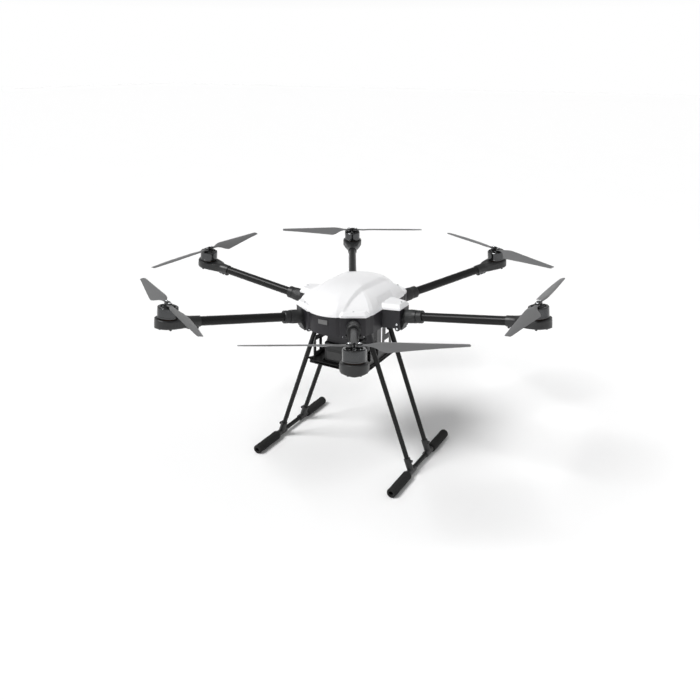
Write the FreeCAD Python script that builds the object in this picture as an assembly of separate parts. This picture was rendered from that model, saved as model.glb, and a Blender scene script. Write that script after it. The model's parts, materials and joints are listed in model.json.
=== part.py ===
# Folding hexacopter on a skid landing gear, with a battery bay under the body.
# Millimetres. The origin is on the ground under the centre, +Z is up and the nose points to -Y.
# Each arm is modelled lying along +X at the root of its tube and is then placed by "on_arm".
import FreeCAD, Part
import math
import os

from FreeCAD import Placement, Rotation, Vector

os.makedirs("parts", exist_ok=True)

# ---- driving dimensions: overall -----------------------------------------------------------------
MOTOR_CIRCLE_RADIUS = 600.0      # centre of the craft to a propeller's hub
PROP_DIAMETER = 559.0            # a 22 inch propeller
HUB_HEIGHT = 642.0               # propeller plane above the ground, at the hub
BELLY_HEIGHT = 496.0             # underside of the lower shell above the ground
ARM_RISE_DEG = 8.0               # each arm climbs towards its motor
ARM_ANGLES = {"right": 0, "rear_right": 60, "rear_left": 120,
              "left": 180, "front_left": 240, "front_right": 300}
# right is +X; these propellers turn clockwise seen from above
CLOCKWISE = ("right", "rear_left", "front_left")
FAR = 1000.0                     # past every part, for tools that cut or keep

# ---- body ----------------------------------------------------------------------------------------
BODY_HALF_WIDTH = 133.0
BODY_HALF_LENGTH = 194.0
SIDE_STRAIGHT_HALF = 106.0       # the straight side runs this far each way from the middle
SHOULDER_INSET = 5.0             # the corner after the straight side steps in this much
SHOULDER_RUN = 15.0
NOSE_HALF_WIDTH = 46.0
NOSE_SAGITTA = 10.0
SHELL_HEIGHT = 60.0              # lower shell, up to its joint with the top cover
RIM_HEIGHT = BELLY_HEIGHT + SHELL_HEIGHT
COVER_RISE = 61.0                # side panels of the cover above the rim, at the middle
SPINE_STEP = 9.0                 # the centre spine stands this much above the side panels
SPINE_NOSE_HALF = 44.0
SPINE_FRONT_HALF = 63.0
SPINE_REAR_HALF = 75.0
SPINE_FRONT_Y = -164.0
SPINE_REAR_Y = 130.0
SHELL_WALL = 2.5
COVER_WALL = 2.4
# share of the plan size left, and share of the rise reached, up the cover
COVER_PROFILE = ((1.0, 0.0), (0.975, 0.2), (0.9, 0.46), (0.78, 0.68), (0.6, 0.85),
                 (0.38, 0.955), (0.15, 1.0))
PAN_HALF_WIDTH = 52.0            # stepped pan under the shell, above the battery
PAN_HALF_LENGTH = 112.0
PAN_DEPTH = 40.0
NECK_SIDE_INSET = 9.0
NECK_END_INSET = 20.0
NECK_DEPTH = 28.0

# ---- arm lugs on the body ------------------------------------------------------------------------
LUG_LENGTH = 53.0                # side lug, out from the body's straight side
LUG_END_RADIUS = BODY_HALF_WIDTH + LUG_LENGTH
SIDE_LUG_ROOT = (BODY_HALF_WIDTH, 47.0)            # distance from the centre, half width
DIAGONAL_LUG_ROOT = (LUG_END_RADIUS - 14.0, 51.0)
SIDE_LUG_END_HALF = 33.0
DIAGONAL_LUG_END_HALF = 38.0
LUG_BURY = 30.0                  # a lug runs this far inside its root
CAP_LIP = 6.0
CAP_HEIGHT = 16.0
CAP_SCREW_DEPTH = 12.0           # screw's reach into the lug
CAP_CHAMFER = 7.0
CAP_SCREW_RADIUS = LUG_END_RADIUS - 11.0

# ---- arm fold hinge ------------------------------------------------------------------------------
PIVOT_SETBACK = 8.0              # pin behind the lug's end, and below the belly
PIVOT_DROP = 2.0
PIVOT_RADIUS = LUG_END_RADIUS - PIVOT_SETBACK      # from the centre of the craft
PIVOT_HEIGHT = BELLY_HEIGHT - PIVOT_DROP
PIN_RADIUS = 2.5
PIN_HEAD_RADIUS = 3.6
PIN_HEAD_HEIGHT = 1.6
PIN_HEAD_ROOM = 0.4              # round the head where the lug is wider than the ears
EAR_INNER = 24.0
EAR_THICKNESS = 8.0
EAR_RADIUS = 8.5
BARREL_RADIUS = 7.5
KNUCKLE_GAP = 0.4                # knuckle to lug face, and knuckle to ears
SLOT_CLEARANCE = 1.5
PIN_CLEARANCE = 0.06
WEB_HALF_WIDTH = 18.0
# side bolts of the two side lugs: back from the lug's end, above the belly
LUG_BOLT_SETBACK = 8.6
LUG_BOLT_RISE = 13.4
LUG_BOLT_RADIUS = 2.0
LUG_BOLT_HEAD_RADIUS = 3.8
LUG_BOLT_HEAD = 2.2
LUG_BOLT_DEPTH = 8.0
CHIN_REACH = 10.0                # sloping web under the knuckle's flange, beyond its face

# ---- arm, measured from the root of its tube along it --------------------------------------------
ROOT_STANDOFF = 4.2              # root of the tube beyond the lug's end
ARM_ROOT_RADIUS = LUG_END_RADIUS + ROOT_STANDOFF
TUBE_RADIUS = 14.0
TUBE_WALL = 1.5
SPIGOT_RADIUS = TUBE_RADIUS + 3.0
FLANGE_RADIUS = SPIGOT_RADIUS + 4.0
FLANGE_LENGTH = 12.0             # back from the root, then cut square to the lug
COLLAR_WALL = 4.65
COLLAR_CLEARANCE = 0.15
COLLAR_RADIUS = SPIGOT_RADIUS + COLLAR_CLEARANCE + COLLAR_WALL
COLLAR_LENGTH = 41.2
COLLAR_END_GAP = 0.4
COLLAR_CHAMFER = 1.5
RING_RADIUS = TUBE_RADIUS + 6.3
RING_LENGTH = 19.0
RING_CHAMFER = 1.6

# ---- motor ---------------------------------------------------------------------------------------
CAN_RADIUS = 29.5
MOUNT_RADIUS = CAN_RADIUS + 8.5
MOUNT_BELOW = 14.0               # mount housing below and above the tube's axis
MOUNT_ABOVE = 14.5
MOUNT_WALL = 3.0
MOUNT_ROUND = 1.5
SLEEVE_OVERLAP = 12.0            # clamp sleeve running into the housing
CLAMP_RADIUS = TUBE_RADIUS + 2.5
CLAMP_REACH = 94.0               # clamp sleeve's length inward from the motor's axis
# inward from the motor's axis and half width of the neck between housing and sleeve
NECK_OUTLINE = ((18.0, 31.0), (40.0, 25.0), (60.0, 18.5), (80.0, 16.0))
NECK_HALF_HEIGHT = 12.5
KEEL_HALF_WIDTH = 6.0
KEEL_DEPTH = CLAMP_RADIUS + 4.5
KEEL_ENDS = (36.0, 91.0)
KEEL_FLAT = (60.0, 87.0)
CLAMP_BOLT_PLACES = (67.0, 81.0)
CLAMP_BOLT_RADIUS = 1.5
CLAMP_BOLT_PROUD = 1.5           # each end beyond the keel
CLAMP_BOLT_DROP = CLAMP_RADIUS + 2.1
TUBE_END_GAP = 30.0
FOOT_RADIUS = 3.0
FOOT_HEIGHT = 1.0
FOOT_COUNT = 6
FOOT_INSET = 6.0
STATOR_RADIUS = CAN_RADIUS - 4.0
STATOR_BORE = 9.0
STATOR_HEIGHT = 22.0
STATOR_TEETH = 12
STATOR_SLOT_WIDTH = 3.0
STATOR_CORE = 6.0                # solid ring round the bore
BOARD_SIZE = (44.0, 34.0, 5.0)
BOARD_SETOFF = MOUNT_RADIUS / 6  # speed controller board, outwards from the motor's axis
CAN_WALL = 2.5
CAN_TOP = 4.0
CAN_ROUND = 2.0
CAN_GAP = 2.5                    # dark line between the mount and the can
CAN_HEIGHT = 31.0
CAN_WINDOWS = 8
WINDOW_RADIUS = 4.5
WINDOW_CIRCLE = 17.5
SHAFT_RADIUS = 3.0
SHAFT_CLEARANCE = 0.05
SHAFT_START = 2.0                # lower end above the tube's axis
BOSS_RADIUS = 8.0
BOSS_HEIGHT = 2.45               # from the can's top up to the hub's lower plate

# ---- propeller -----------------------------------------------------------------------------------
FOLD_BOLT_OFFSET = 12.5
FOLD_BOLT_RADIUS = 2.0
FOLD_BOLT_HEAD = 3.6
FOLD_BOLT_HEAD_HEIGHT = 2.4
FOLD_CLEARANCE = 0.06
EYE_RADIUS = 7.5
EYE_THICKNESS = 4.8
EYE_GAP = 0.15
HUB_PLATE = 2.0
HUB_PLATE_HALF_WIDTH = 8.0
HUB_POST_RADIUS = 4.0
# distance from the hub, leading edge, trailing edge, thickness, pitch in degrees
BLADE_STATIONS = ((36.0, 7.0, 7.0, 4.6, 6.0), (50.0, 14.0, 12.0, 4.2, 18.0),
                  (78.0, 15.0, 31.0, 3.8, 20.0), (120.0, 14.0, 27.0, 3.2, 16.0),
                  (200.0, 11.5, 18.0, 2.4, 10.5), (PROP_DIAMETER / 2, 9.0, 9.0, 1.4, 7.0))
# round a blade's section: share of the chord from the leading edge, share of the thickness
BLADE_SECTION = ((0.0, 0.25), (0.15, 0.42), (0.4, 0.5), (0.75, 0.3), (1.0, -0.25),
                 (0.75, -0.12), (0.4, -0.5), (0.15, -0.42))
BLADE_NECK_HALF = 6.0
NECK_TO_BLADE = 8.0              # length over which the square neck turns into the blade
# round the neck's end, matched to the section: share of its half width, share of its half height
NECK_SECTION = ((1.0, 0), (0.7, 1), (0.2, 1), (-0.5, 1), (-1.0, 0), (-0.5, -1), (0.2, -1), (0.7, -1))

# ---- landing gear --------------------------------------------------------------------------------
GEAR_TUBE_RADIUS = 8.0
GEAR_TUBE_WALL = 1.2
FOAM_THICKNESS = 8.0
FOAM_RADIUS = GEAR_TUBE_RADIUS + FOAM_THICKNESS
SKID_TRACK_HALF = 262.0
SKID_HALF_LENGTH = 206.0
FOAM_INNER_END = 95.0
FOAM_OUTER_END = 218.0
STRUT_PLANE = 70.0
STRUT_TOP_X = 86.0
STRUT_TOP_GAP = 1.0
STRUT_BOTTOM_GAP = 14.0
STRUT_OVERRUN = 20.0             # drawn this far past the belly, then cut back level
TEE_RADIUS = GEAR_TUBE_RADIUS + 3.0
TEE_HALF_LENGTH = 23.5
TEE_RISE = 46.0
TEE_EAR = (12.0, 10.0, 7.0)
SOCKET_RADIUS = GEAR_TUBE_RADIUS + 4.0
SOCKET_LENGTH = 52.0
SOCKET_FLANGE = (52.0, 44.0, 4.0)
SOCKET_SCREW_INSET = 5.0

# ---- battery bay ---------------------------------------------------------------------------------
BATTERY_HALF_WIDTH = 52.0
BATTERY_HALF_LENGTH = 100.0
BATTERY_HEIGHT = 66.0
BATTERY_CORNER = 5.0
BATTERY_LIFT = 0.3
TRAY_DROP = 147.0                # underside of the tray below the belly
TRAY_HEIGHT = BELLY_HEIGHT - TRAY_DROP
SIDE_PLATE_X = BATTERY_HALF_WIDTH + 44.0
TRAY_HALF_WIDTH = SIDE_PLATE_X + 9.0
TRAY_HALF_LENGTH = BATTERY_HALF_LENGTH + 15.0
TRAY_PLATE = 2.5
TRAY_DEPTH = 12.0                # both plates and the gap between them
TRAY_CORNER = 12.0
# spacers between the plates, from the middle of the tray, in one quarter
TRAY_SPACERS = ((TRAY_HALF_WIDTH - 30.0, TRAY_HALF_LENGTH - 8.0), (TRAY_HALF_WIDTH - 7.0, 40.0),
                (25.0, TRAY_HALF_LENGTH - 8.0))
PAYLOAD_HOLE_X = TRAY_HALF_WIDTH - 20.0
PAYLOAD_HOLE_Y = TRAY_HALF_LENGTH - 20.0
PAYLOAD_HOLE_RADIUS = 1.7
GUIDE_GAP = 0.4
GUIDE_WIDTH = 4.0
GUIDE_HEIGHT = 8.0
SIDE_PLATE = 2.5
SIDE_PLATE_HALF_LENGTH = 92.0
SIDE_PLATE_FLANGE_GAP = 2.0      # the plate's neck stops this far from the strut sockets
SHOULDER_GAP = 3.0               # across, from a plate's shoulder to a strut
SIDE_PLATE_SHOULDER = BELLY_HEIGHT - ((SIDE_PLATE_X + SIDE_PLATE + GEAR_TUBE_RADIUS + SHOULDER_GAP
                                       - STRUT_TOP_X) * (BELLY_HEIGHT - FOAM_RADIUS)
                                      / (SKID_TRACK_HALF - STRUT_TOP_X))
SIDE_PLATE_CORNER = (12.0, 20.0)  # the shoulder's corner is cut off by this much along and down
# windows in a side plate: two ends along it, and two heights above its foot
LOW_WINDOW_TOP = 52.0
LOW_WINDOW_FOOT = 14.0
SIDE_WINDOWS = (((-78.0, -56.0), (LOW_WINDOW_FOOT, 55.0)),
                ((-42.0, -4.0), (LOW_WINDOW_FOOT, LOW_WINDOW_TOP)),
                ((-40.0, -14.0), (65.0, 117.0)), ((14.0, 26.0), (30.0, 109.0)),
                ((40.0, 76.0), (LOW_WINDOW_FOOT, LOW_WINDOW_TOP)))
LATCH_PIVOT = (TRAY_HALF_WIDTH - 8.0, TRAY_HALF_LENGTH - 8.0)
LATCH_RADIUS = 6.0
LATCH_BAR = (18.0, 7.0, 5.0)
LATCH_PIN_RADIUS = 2.0
LATCH_GAP = 0.3
LATCH_TURN_DEG = 30.0

# ---- frame and electronics inside the shell ------------------------------------------------------
FRAME_INSET = 8.0
FRAME_PLATE = 2.0
FRAME_SPACE = 38.0
STANDOFF_RADIUS = 3.5
STANDOFFS = ((60.0, 60.0), (60.0, 110.0), (95.0, 20.0), (25.0, 130.0))
CONTROLLER = (84.0, 54.0, 24.0)
CONTROLLER_Y = -20.0
POWER_BOARD = (70.0, 70.0, 8.0)
DAMPER_HEIGHT = 4.0
NAME_PLATE = (32.0, 14.0, 1.5)
NAME_PLATE_X = 5.0
NAME_PLATE_BELOW_RIM = 18.0
SCREW_RADIUS = 1.5
SCREW_HEAD_RADIUS = 3.0
SCREW_HEAD_HEIGHT = 1.8
SCREW_CLEARANCE = 0.1
CAP_SCREW_LENGTH = 24.0
FOOT_SCREW_LENGTH = 7.0

# ---- places that follow from the sizes above -----------------------------------------------------
rise = math.radians(ARM_RISE_DEG)
SKID_HEIGHT = FOAM_RADIUS
# the blades' plane above the tube's axis, measured square to the tube
PROP_ABOVE_TUBE = (MOUNT_ABOVE + CAN_GAP + CAN_HEIGHT + BOSS_HEIGHT + HUB_PLATE + EYE_GAP
                   + EYE_THICKNESS / 2)
motor_foot_radius = MOTOR_CIRCLE_RADIUS + PROP_ABOVE_TUBE * math.sin(rise)
motor_foot_height = HUB_HEIGHT - PROP_ABOVE_TUBE * math.cos(rise)
motor_along = (motor_foot_radius - ARM_ROOT_RADIUS) / math.cos(rise)
arm_root_height = motor_foot_height - motor_along * math.sin(rise)
collar_end = COLLAR_END_GAP + COLLAR_LENGTH
spigot_end = collar_end + COLLAR_END_GAP + RING_LENGTH
can_bottom = MOUNT_ABOVE + CAN_GAP
can_top = can_bottom + CAN_HEIGHT
eye_bottom = PROP_ABOVE_TUBE - EYE_THICKNESS / 2
eye_top = PROP_ABOVE_TUBE + EYE_THICKNESS / 2
tray_top = TRAY_HEIGHT + TRAY_DEPTH
shell_floor = BELLY_HEIGHT + SHELL_WALL
lower_frame = shell_floor + DAMPER_HEIGHT
upper_frame = lower_frame + FRAME_PLATE + FRAME_SPACE

X, Y, Z = Vector(1, 0, 0), Vector(0, 1, 0), Vector(0, 0, 1)


# ---- small helpers -------------------------------------------------------------------------------
def box(x, y, z):
    """A box from three (low, high) pairs."""
    low = Vector(x[0], y[0], z[0])
    return Part.makeBox(x[1] - x[0], y[1] - y[0], z[1] - z[0], low)


def rod(radius, start, end):
    """A round bar between two points."""
    start, end = Vector(*start), Vector(*end)
    return Part.makeCylinder(radius, (end - start).Length, start, end - start)


def pipe(radius, wall, start, end):
    """A round tube between two points."""
    return rod(radius, start, end).cut(rod(radius - wall, start, end))


def prism(points, low, high):
    """A straight-sided outline in plan, pulled up from one height to another."""
    loop = [Vector(x, y, low) for x, y in points]
    face = Part.Face(Part.makePolygon(loop + loop[:1]))
    return face.extrude(Vector(0, 0, high - low))


def polygon(points, height):
    """A closed straight-sided wire in plan."""
    loop = [Vector(x, y, height) for x, y in points]
    return Part.makePolygon(loop + loop[:1])


def rounded_box(half_x, half_y, low, high, corner):
    """A box about the Z axis with round upright corners."""
    solid = box((-half_x, half_x), (-half_y, half_y), (low, high))
    upright = [e for e in solid.Edges if abs(e.tangentAt(e.FirstParameter).z) > 0.9]
    return solid.makeFillet(corner, upright)


def joined(solids):
    """One solid fused from several that touch or overlap."""
    first = solids[0]
    return first.fuse(solids[1:]).removeSplitter()


def spun(shape, count):
    """Copies of a shape turned evenly about the Z axis."""
    return [shape.rotated(Vector(0, 0, 0), Z, 360.0 * n / count) for n in range(count)]


def mirrored_four(shape):
    """The four copies of a shape in the quarters of the plan."""
    left = shape.mirror(Vector(0, 0, 0), X)
    return [shape, left, shape.mirror(Vector(0, 0, 0), Y), left.mirror(Vector(0, 0, 0), Y)]


def on_arm(shape, angle):
    """Place a shape modelled along +X from the tube's root onto the arm at an angle."""
    tilt = Rotation(Y, -ARM_RISE_DEG)
    root = Placement(Vector(ARM_ROOT_RADIUS, 0, arm_root_height), tilt)
    turn = Placement(Vector(0, 0, 0), Rotation(Z, angle))
    return placed(shape, turn * root)


def placed(shape, placement):
    """A copy of a shape moved by a placement, with the move applied to its geometry."""
    return shape.transformed(placement.toMatrix(), True)


def turned(shape, angle):
    """Turn a shape modelled at the +X arm about the craft's axis."""
    return placed(shape, Placement(Vector(0, 0, 0), Rotation(Z, angle)))


def write(name, *solids):
    """Write one node's solids."""
    shape = solids[0] if len(solids) == 1 else Part.makeCompound(list(solids))
    shape.exportStep("parts/" + name + ".step")
    print(name, "solids", len(shape.Solids), "valid", shape.isValid(), "volume", round(shape.Volume))


# ---- body shell and cover ------------------------------------------------------------------------
def body_outline(inset, height, share=1.0):
    """The body's outline in plan: straight sides, stepped shoulders and a shallow nose arc."""
    side = (BODY_HALF_WIDTH - inset) * share
    straight = SIDE_STRAIGHT_HALF * share
    shoulder_x = (BODY_HALF_WIDTH - SHOULDER_INSET - inset) * share
    shoulder_y = (SIDE_STRAIGHT_HALF + SHOULDER_RUN - inset / 2) * share
    nose_x = (NOSE_HALF_WIDTH - inset / 2) * share
    nose_y = (BODY_HALF_LENGTH - NOSE_SAGITTA - inset) * share
    tip = (BODY_HALF_LENGTH - inset) * share
    edges = []
    for way in (1, -1):
        nose = [Vector(way * nose_x, way * nose_y, height), Vector(0, way * tip, height),
                Vector(-way * nose_x, way * nose_y, height)]
        edges.append(Part.Arc(*nose).toShape())
        after = [nose[2], Vector(-way * shoulder_x, way * shoulder_y, height),
                 Vector(-way * side, way * straight, height),
                 Vector(-way * side, -way * straight, height),
                 Vector(-way * shoulder_x, -way * shoulder_y, height),
                 Vector(-way * nose_x, -way * nose_y, height)]
        edges += [Part.makeLine(a, b) for a, b in zip(after, after[1:])]
    return Part.Wire(edges)


def outline_solid(inset, low, high):
    return Part.Face(body_outline(inset, low)).extrude(Vector(0, 0, high - low))


def dome(offset, rise_height):
    """The cover's outer or inner surface as a solid, lofted through shrinking outlines."""
    wires = []
    for share, reached in COVER_PROFILE:
        height = RIM_HEIGHT + rise_height * reached - (offset if reached else 0)
        wires.append(body_outline(offset, height, share))
    solid = Part.makeLoft(wires, True, True)
    return solid


def spine_plan(offset):
    """Half width of the raised spine along the craft, as a plan outline."""
    reach = BODY_HALF_LENGTH + 1
    half = [(-reach, SPINE_NOSE_HALF), (SPINE_FRONT_Y, SPINE_FRONT_HALF),
            (SPINE_REAR_Y, SPINE_REAR_HALF), (reach, SPINE_NOSE_HALF)]
    right = [(w - offset, y) for y, w in half]
    left = [(offset - w, y) for y, w in reversed(half)]
    return right + left


def cover_body(offset):
    """Side panels with the raised spine, as one solid."""
    sides = dome(offset, COVER_RISE)
    spine = dome(offset, COVER_RISE + SPINE_STEP)
    top = RIM_HEIGHT + COVER_RISE + SPINE_STEP + 1
    return sides.fuse(spine.common(prism(spine_plan(offset), RIM_HEIGHT, top)))


def is_side_lug(angle):
    return angle % 180 == 0


def lug_sizes(angle):
    """Root distance, root half width and end half width of the lug at an arm."""
    side = is_side_lug(angle)
    root, half = SIDE_LUG_ROOT if side else DIAGONAL_LUG_ROOT
    return root, half, (SIDE_LUG_END_HALF if side else DIAGONAL_LUG_END_HALF)


def lug_plan(angle, inset=0.0):
    """Plan outline of a lug at the +X arm."""
    root, half, end_half = lug_sizes(angle)
    end = LUG_END_RADIUS - inset
    return [(root - LUG_BURY, inset - half), (root, inset - half), (end, inset - end_half),
            (end, end_half - inset), (root, half - inset), (root - LUG_BURY, half - inset)]


def lug_cap(angle, inset):
    """The cover's pad over a lug: a short lip and a chamfered top."""
    low, lip, top = RIM_HEIGHT, RIM_HEIGHT + CAP_LIP - inset, RIM_HEIGHT + CAP_HEIGHT - inset
    lower = prism(lug_plan(angle, inset), low, lip)
    loft = Part.makeLoft([polygon(lug_plan(angle, inset), lip),
                          polygon(lug_plan(angle, inset + CAP_CHAMFER), top)], True, True)
    return turned(lower.fuse(loft), angle)


def screw(place, height, length):
    """A cap screw standing head up at a place in plan, its head on the given height."""
    x, y = place
    shank = rod(SCREW_RADIUS, (x, y, height - length), (x, y, height))
    head = rod(SCREW_HEAD_RADIUS, (x, y, height), (x, y, height + SCREW_HEAD_HEIGHT))
    return shank.fuse(head).removeSplitter()


def screw_hole(place, low, high):
    x, y = place
    return rod(SCREW_RADIUS + SCREW_CLEARANCE, (x, y, low), (x, y, high))


def around(radius, angle):
    a = math.radians(angle)
    return radius * math.cos(a), radius * math.sin(a)


def top_cover():
    outer = cover_body(0.0)
    inner = cover_body(COVER_WALL)
    for angle in ARM_ANGLES.values():
        outer = outer.fuse(lug_cap(angle, 0.0))
    for angle in ARM_ANGLES.values():
        inner = inner.fuse(lug_cap(angle, COVER_WALL))
    shell = outer.cut(inner)
    for angle in ARM_ANGLES.values():
        x, y = around(CAP_SCREW_RADIUS, angle)
        top = RIM_HEIGHT + CAP_HEIGHT - COVER_WALL / 2
        shell = shell.fuse(rod(SCREW_HEAD_RADIUS + 1, (x, y, RIM_HEIGHT), (x, y, top)))
    for angle in ARM_ANGLES.values():
        place = around(CAP_SCREW_RADIUS, angle)
        shell = shell.cut(screw_hole(place, RIM_HEIGHT - 1, RIM_HEIGHT + CAP_HEIGHT + 1))
    return shell.removeSplitter()


def lug_block(angle):
    """The solid lug under a cap with its two hinge ears, at the +X arm."""
    block = prism(lug_plan(angle), BELLY_HEIGHT, RIM_HEIGHT)
    outer = EAR_INNER + EAR_THICKNESS
    for side in (-1, 1):
        y = sorted((side * EAR_INNER, side * outer))
        ear = rod(EAR_RADIUS, (PIVOT_RADIUS, y[0], PIVOT_HEIGHT), (PIVOT_RADIUS, y[1], PIVOT_HEIGHT))
        ear = ear.common(box((0, LUG_END_RADIUS), y, (0, RIM_HEIGHT)))
        gusset = box((PIVOT_RADIUS - EAR_RADIUS, LUG_END_RADIUS), y, (PIVOT_HEIGHT, BELLY_HEIGHT))
        block = block.fuse(ear).fuse(gusset)
    return block.removeSplitter()


def hinge_slot():
    """The room cut for the knuckle's barrel and web, at the +X arm."""
    reach = BARREL_RADIUS + SLOT_CLEARANCE
    wide = EAR_INNER
    low = PIVOT_HEIGHT - 2 * EAR_RADIUS
    round_room = rod(reach, (PIVOT_RADIUS, -wide, PIVOT_HEIGHT), (PIVOT_RADIUS, wide, PIVOT_HEIGHT))
    below = box((PIVOT_RADIUS - reach, LUG_END_RADIUS + 1), (-wide, wide), (low, PIVOT_HEIGHT))
    ahead = box((PIVOT_RADIUS, LUG_END_RADIUS + 1), (-wide, wide), (low, PIVOT_HEIGHT + reach))
    return round_room.fuse(below).fuse(ahead)


def lower_shell():
    shell = outline_solid(0, BELLY_HEIGHT, RIM_HEIGHT)
    shell = shell.cut(outline_solid(SHELL_WALL, shell_floor, RIM_HEIGHT + 1))
    pan_low = BELLY_HEIGHT - PAN_DEPTH
    pan = box((-PAN_HALF_WIDTH, PAN_HALF_WIDTH), (-PAN_HALF_LENGTH, PAN_HALF_LENGTH),
              (pan_low, BELLY_HEIGHT))
    neck_x, neck_y = PAN_HALF_WIDTH - NECK_SIDE_INSET, PAN_HALF_LENGTH - NECK_END_INSET
    neck = box((-neck_x, neck_x), (-neck_y, neck_y), (pan_low - NECK_DEPTH, pan_low))
    hollow = box((SHELL_WALL - PAN_HALF_WIDTH, PAN_HALF_WIDTH - SHELL_WALL),
                 (SHELL_WALL - PAN_HALF_LENGTH, PAN_HALF_LENGTH - SHELL_WALL),
                 (pan_low + SHELL_WALL, shell_floor + 1))
    shell = shell.fuse([pan, neck]).cut(hollow)
    for angle in ARM_ANGLES.values():
        shell = shell.cut(turned(prism(lug_plan(angle), BELLY_HEIGHT - 1, RIM_HEIGHT + 1), angle))
    for foot in socket_screw_places():
        shell = shell.cut(screw_hole(foot, BELLY_HEIGHT - 1, shell_floor + 1))
    return shell.removeSplitter()


def arm_lug(angle):
    """A lug with its pin hole, its knuckle slot and its cap screw's hole, at its arm."""
    reach = EAR_INNER + EAR_THICKNESS + 1
    across = rod(PIN_RADIUS, (PIVOT_RADIUS, -reach, PIVOT_HEIGHT), (PIVOT_RADIUS, reach, PIVOT_HEIGHT))
    block = lug_block(angle).cut(hinge_slot().fuse(across))
    for side in (-1, 1):
        start, end = side * (reach - 1), side * FAR
        block = block.cut(rod(PIN_HEAD_RADIUS + PIN_HEAD_ROOM, (PIVOT_RADIUS, start, PIVOT_HEIGHT),
                              (PIVOT_RADIUS, end, PIVOT_HEIGHT)))
        if is_side_lug(angle):
            block = block.cut(lug_bolt(side)[0])
    lug = turned(block, angle)
    place = around(CAP_SCREW_RADIUS, angle)
    return lug.cut(screw_hole(place, RIM_HEIGHT - CAP_SCREW_DEPTH, RIM_HEIGHT + 1)).removeSplitter()


def lug_bolt(side):
    """Shank and head of a bolt square to the slanted face of a side lug, at the +X arm."""
    root, root_half, end_half = lug_sizes(0)
    slope = (root_half - end_half) / (LUG_END_RADIUS - root)
    out = Vector(slope, side, 0).normalize()
    half = end_half + LUG_BOLT_SETBACK * slope
    face = Vector(LUG_END_RADIUS - LUG_BOLT_SETBACK, side * half, BELLY_HEIGHT + LUG_BOLT_RISE)
    shank = rod(LUG_BOLT_RADIUS, face - out * LUG_BOLT_DEPTH, face)
    head = rod(LUG_BOLT_HEAD_RADIUS, face, face + out * LUG_BOLT_HEAD)
    head = head.makeFillet(LUG_BOLT_HEAD * 0.8, [min(head.Edges, key=lambda e: -e.CenterOfMass.dot(out))])
    return shank, head


def hinge_pin():
    """Fold pin with a head at each end, at the +X arm."""
    outer = EAR_INNER + EAR_THICKNESS
    shank = rod(PIN_RADIUS, (PIVOT_RADIUS, -outer, PIVOT_HEIGHT), (PIVOT_RADIUS, outer, PIVOT_HEIGHT))
    heads = [rod(PIN_HEAD_RADIUS, (PIVOT_RADIUS, side * outer, PIVOT_HEIGHT),
                 (PIVOT_RADIUS, side * (outer + PIN_HEAD_HEIGHT), PIVOT_HEIGHT)) for side in (-1, 1)]
    return shank.fuse(heads).removeSplitter()


# ---- inside the body -----------------------------------------------------------------------------
def frame_plate(height):
    """A carbon plate inside the shell, clear of the lugs."""
    plate = outline_solid(FRAME_INSET, height, height + FRAME_PLATE)
    for angle in ARM_ANGLES.values():
        root, half, _ = lug_sizes(angle)
        gap = (root - LUG_BURY - 1, LUG_END_RADIUS)
        room = box(gap, (-half - 1, half + 1), (height - 1, height + FRAME_PLATE + 1))
        plate = plate.cut(turned(room, angle))
    return plate


def standoffs():
    low, high = lower_frame + FRAME_PLATE, upper_frame
    posts = []
    for x, y in STANDOFFS:
        posts += mirrored_four(rod(STANDOFF_RADIUS, (x, y, low), (x, y, high)))
        posts += mirrored_four(rod(STANDOFF_RADIUS, (x, y, shell_floor), (x, y, lower_frame)))
    return posts


def block_on(size, centre_y, low):
    x, y, z = size
    return box((-x / 2, x / 2), (centre_y - y / 2, centre_y + y / 2), (low, low + z))


def name_plate():
    """A blank plate on the nose, its back shaped to the nose wall."""
    wide, tall, thick = NAME_PLATE
    front, middle = -BODY_HALF_LENGTH - thick, RIM_HEIGHT - NAME_PLATE_BELOW_RIM
    plate = box((NAME_PLATE_X - wide / 2, NAME_PLATE_X + wide / 2), (front, front + 2 * thick),
                (middle - tall / 2, middle + tall / 2))
    return plate.cut(outline_solid(0, BELLY_HEIGHT, RIM_HEIGHT))


# ---- landing gear --------------------------------------------------------------------------------
def strut_line():
    """Foot, head and direction of the strut in the +X +Y quarter."""
    foot = Vector(SKID_TRACK_HALF, STRUT_PLANE, SKID_HEIGHT)
    head = Vector(STRUT_TOP_X, STRUT_PLANE, BELLY_HEIGHT)
    way = (head - foot).normalize()
    return foot, head, way


def strut():
    foot, head, way = strut_line()
    start = foot + way * STRUT_BOTTOM_GAP
    end = head + way * STRUT_OVERRUN
    tube = pipe(GEAR_TUBE_RADIUS, GEAR_TUBE_WALL, start, end)
    return tube.common(box((0, FAR), (0, FAR), (0, BELLY_HEIGHT - STRUT_TOP_GAP)))


def socket():
    foot, head, way = strut_line()
    sleeve = rod(SOCKET_RADIUS, head - way * SOCKET_LENGTH, head + way * STRUT_OVERRUN)
    x, y, z = SOCKET_FLANGE
    flange = box((head.x - x / 2, head.x + x / 2), (head.y - y / 2, head.y + y / 2),
                 (BELLY_HEIGHT - z, BELLY_HEIGHT))
    body = sleeve.common(box((0, FAR), (0, FAR), (0, BELLY_HEIGHT))).fuse(flange)
    bore = rod(GEAR_TUBE_RADIUS, foot, head + way * STRUT_OVERRUN)
    body = body.cut(bore.common(box((0, FAR), (0, FAR), (0, BELLY_HEIGHT - STRUT_TOP_GAP))))
    for place in flange_screws(head):
        body = body.cut(screw_hole(place, BELLY_HEIGHT - z - 1, BELLY_HEIGHT + 1))
    return body.removeSplitter()


def flange_screws(head):
    x, y = SOCKET_FLANGE[0] / 2 - SOCKET_SCREW_INSET, SOCKET_FLANGE[1] / 2 - SOCKET_SCREW_INSET
    return [(head.x + a * x, head.y + b * y) for a in (-1, 1) for b in (-1, 1)]


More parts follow.
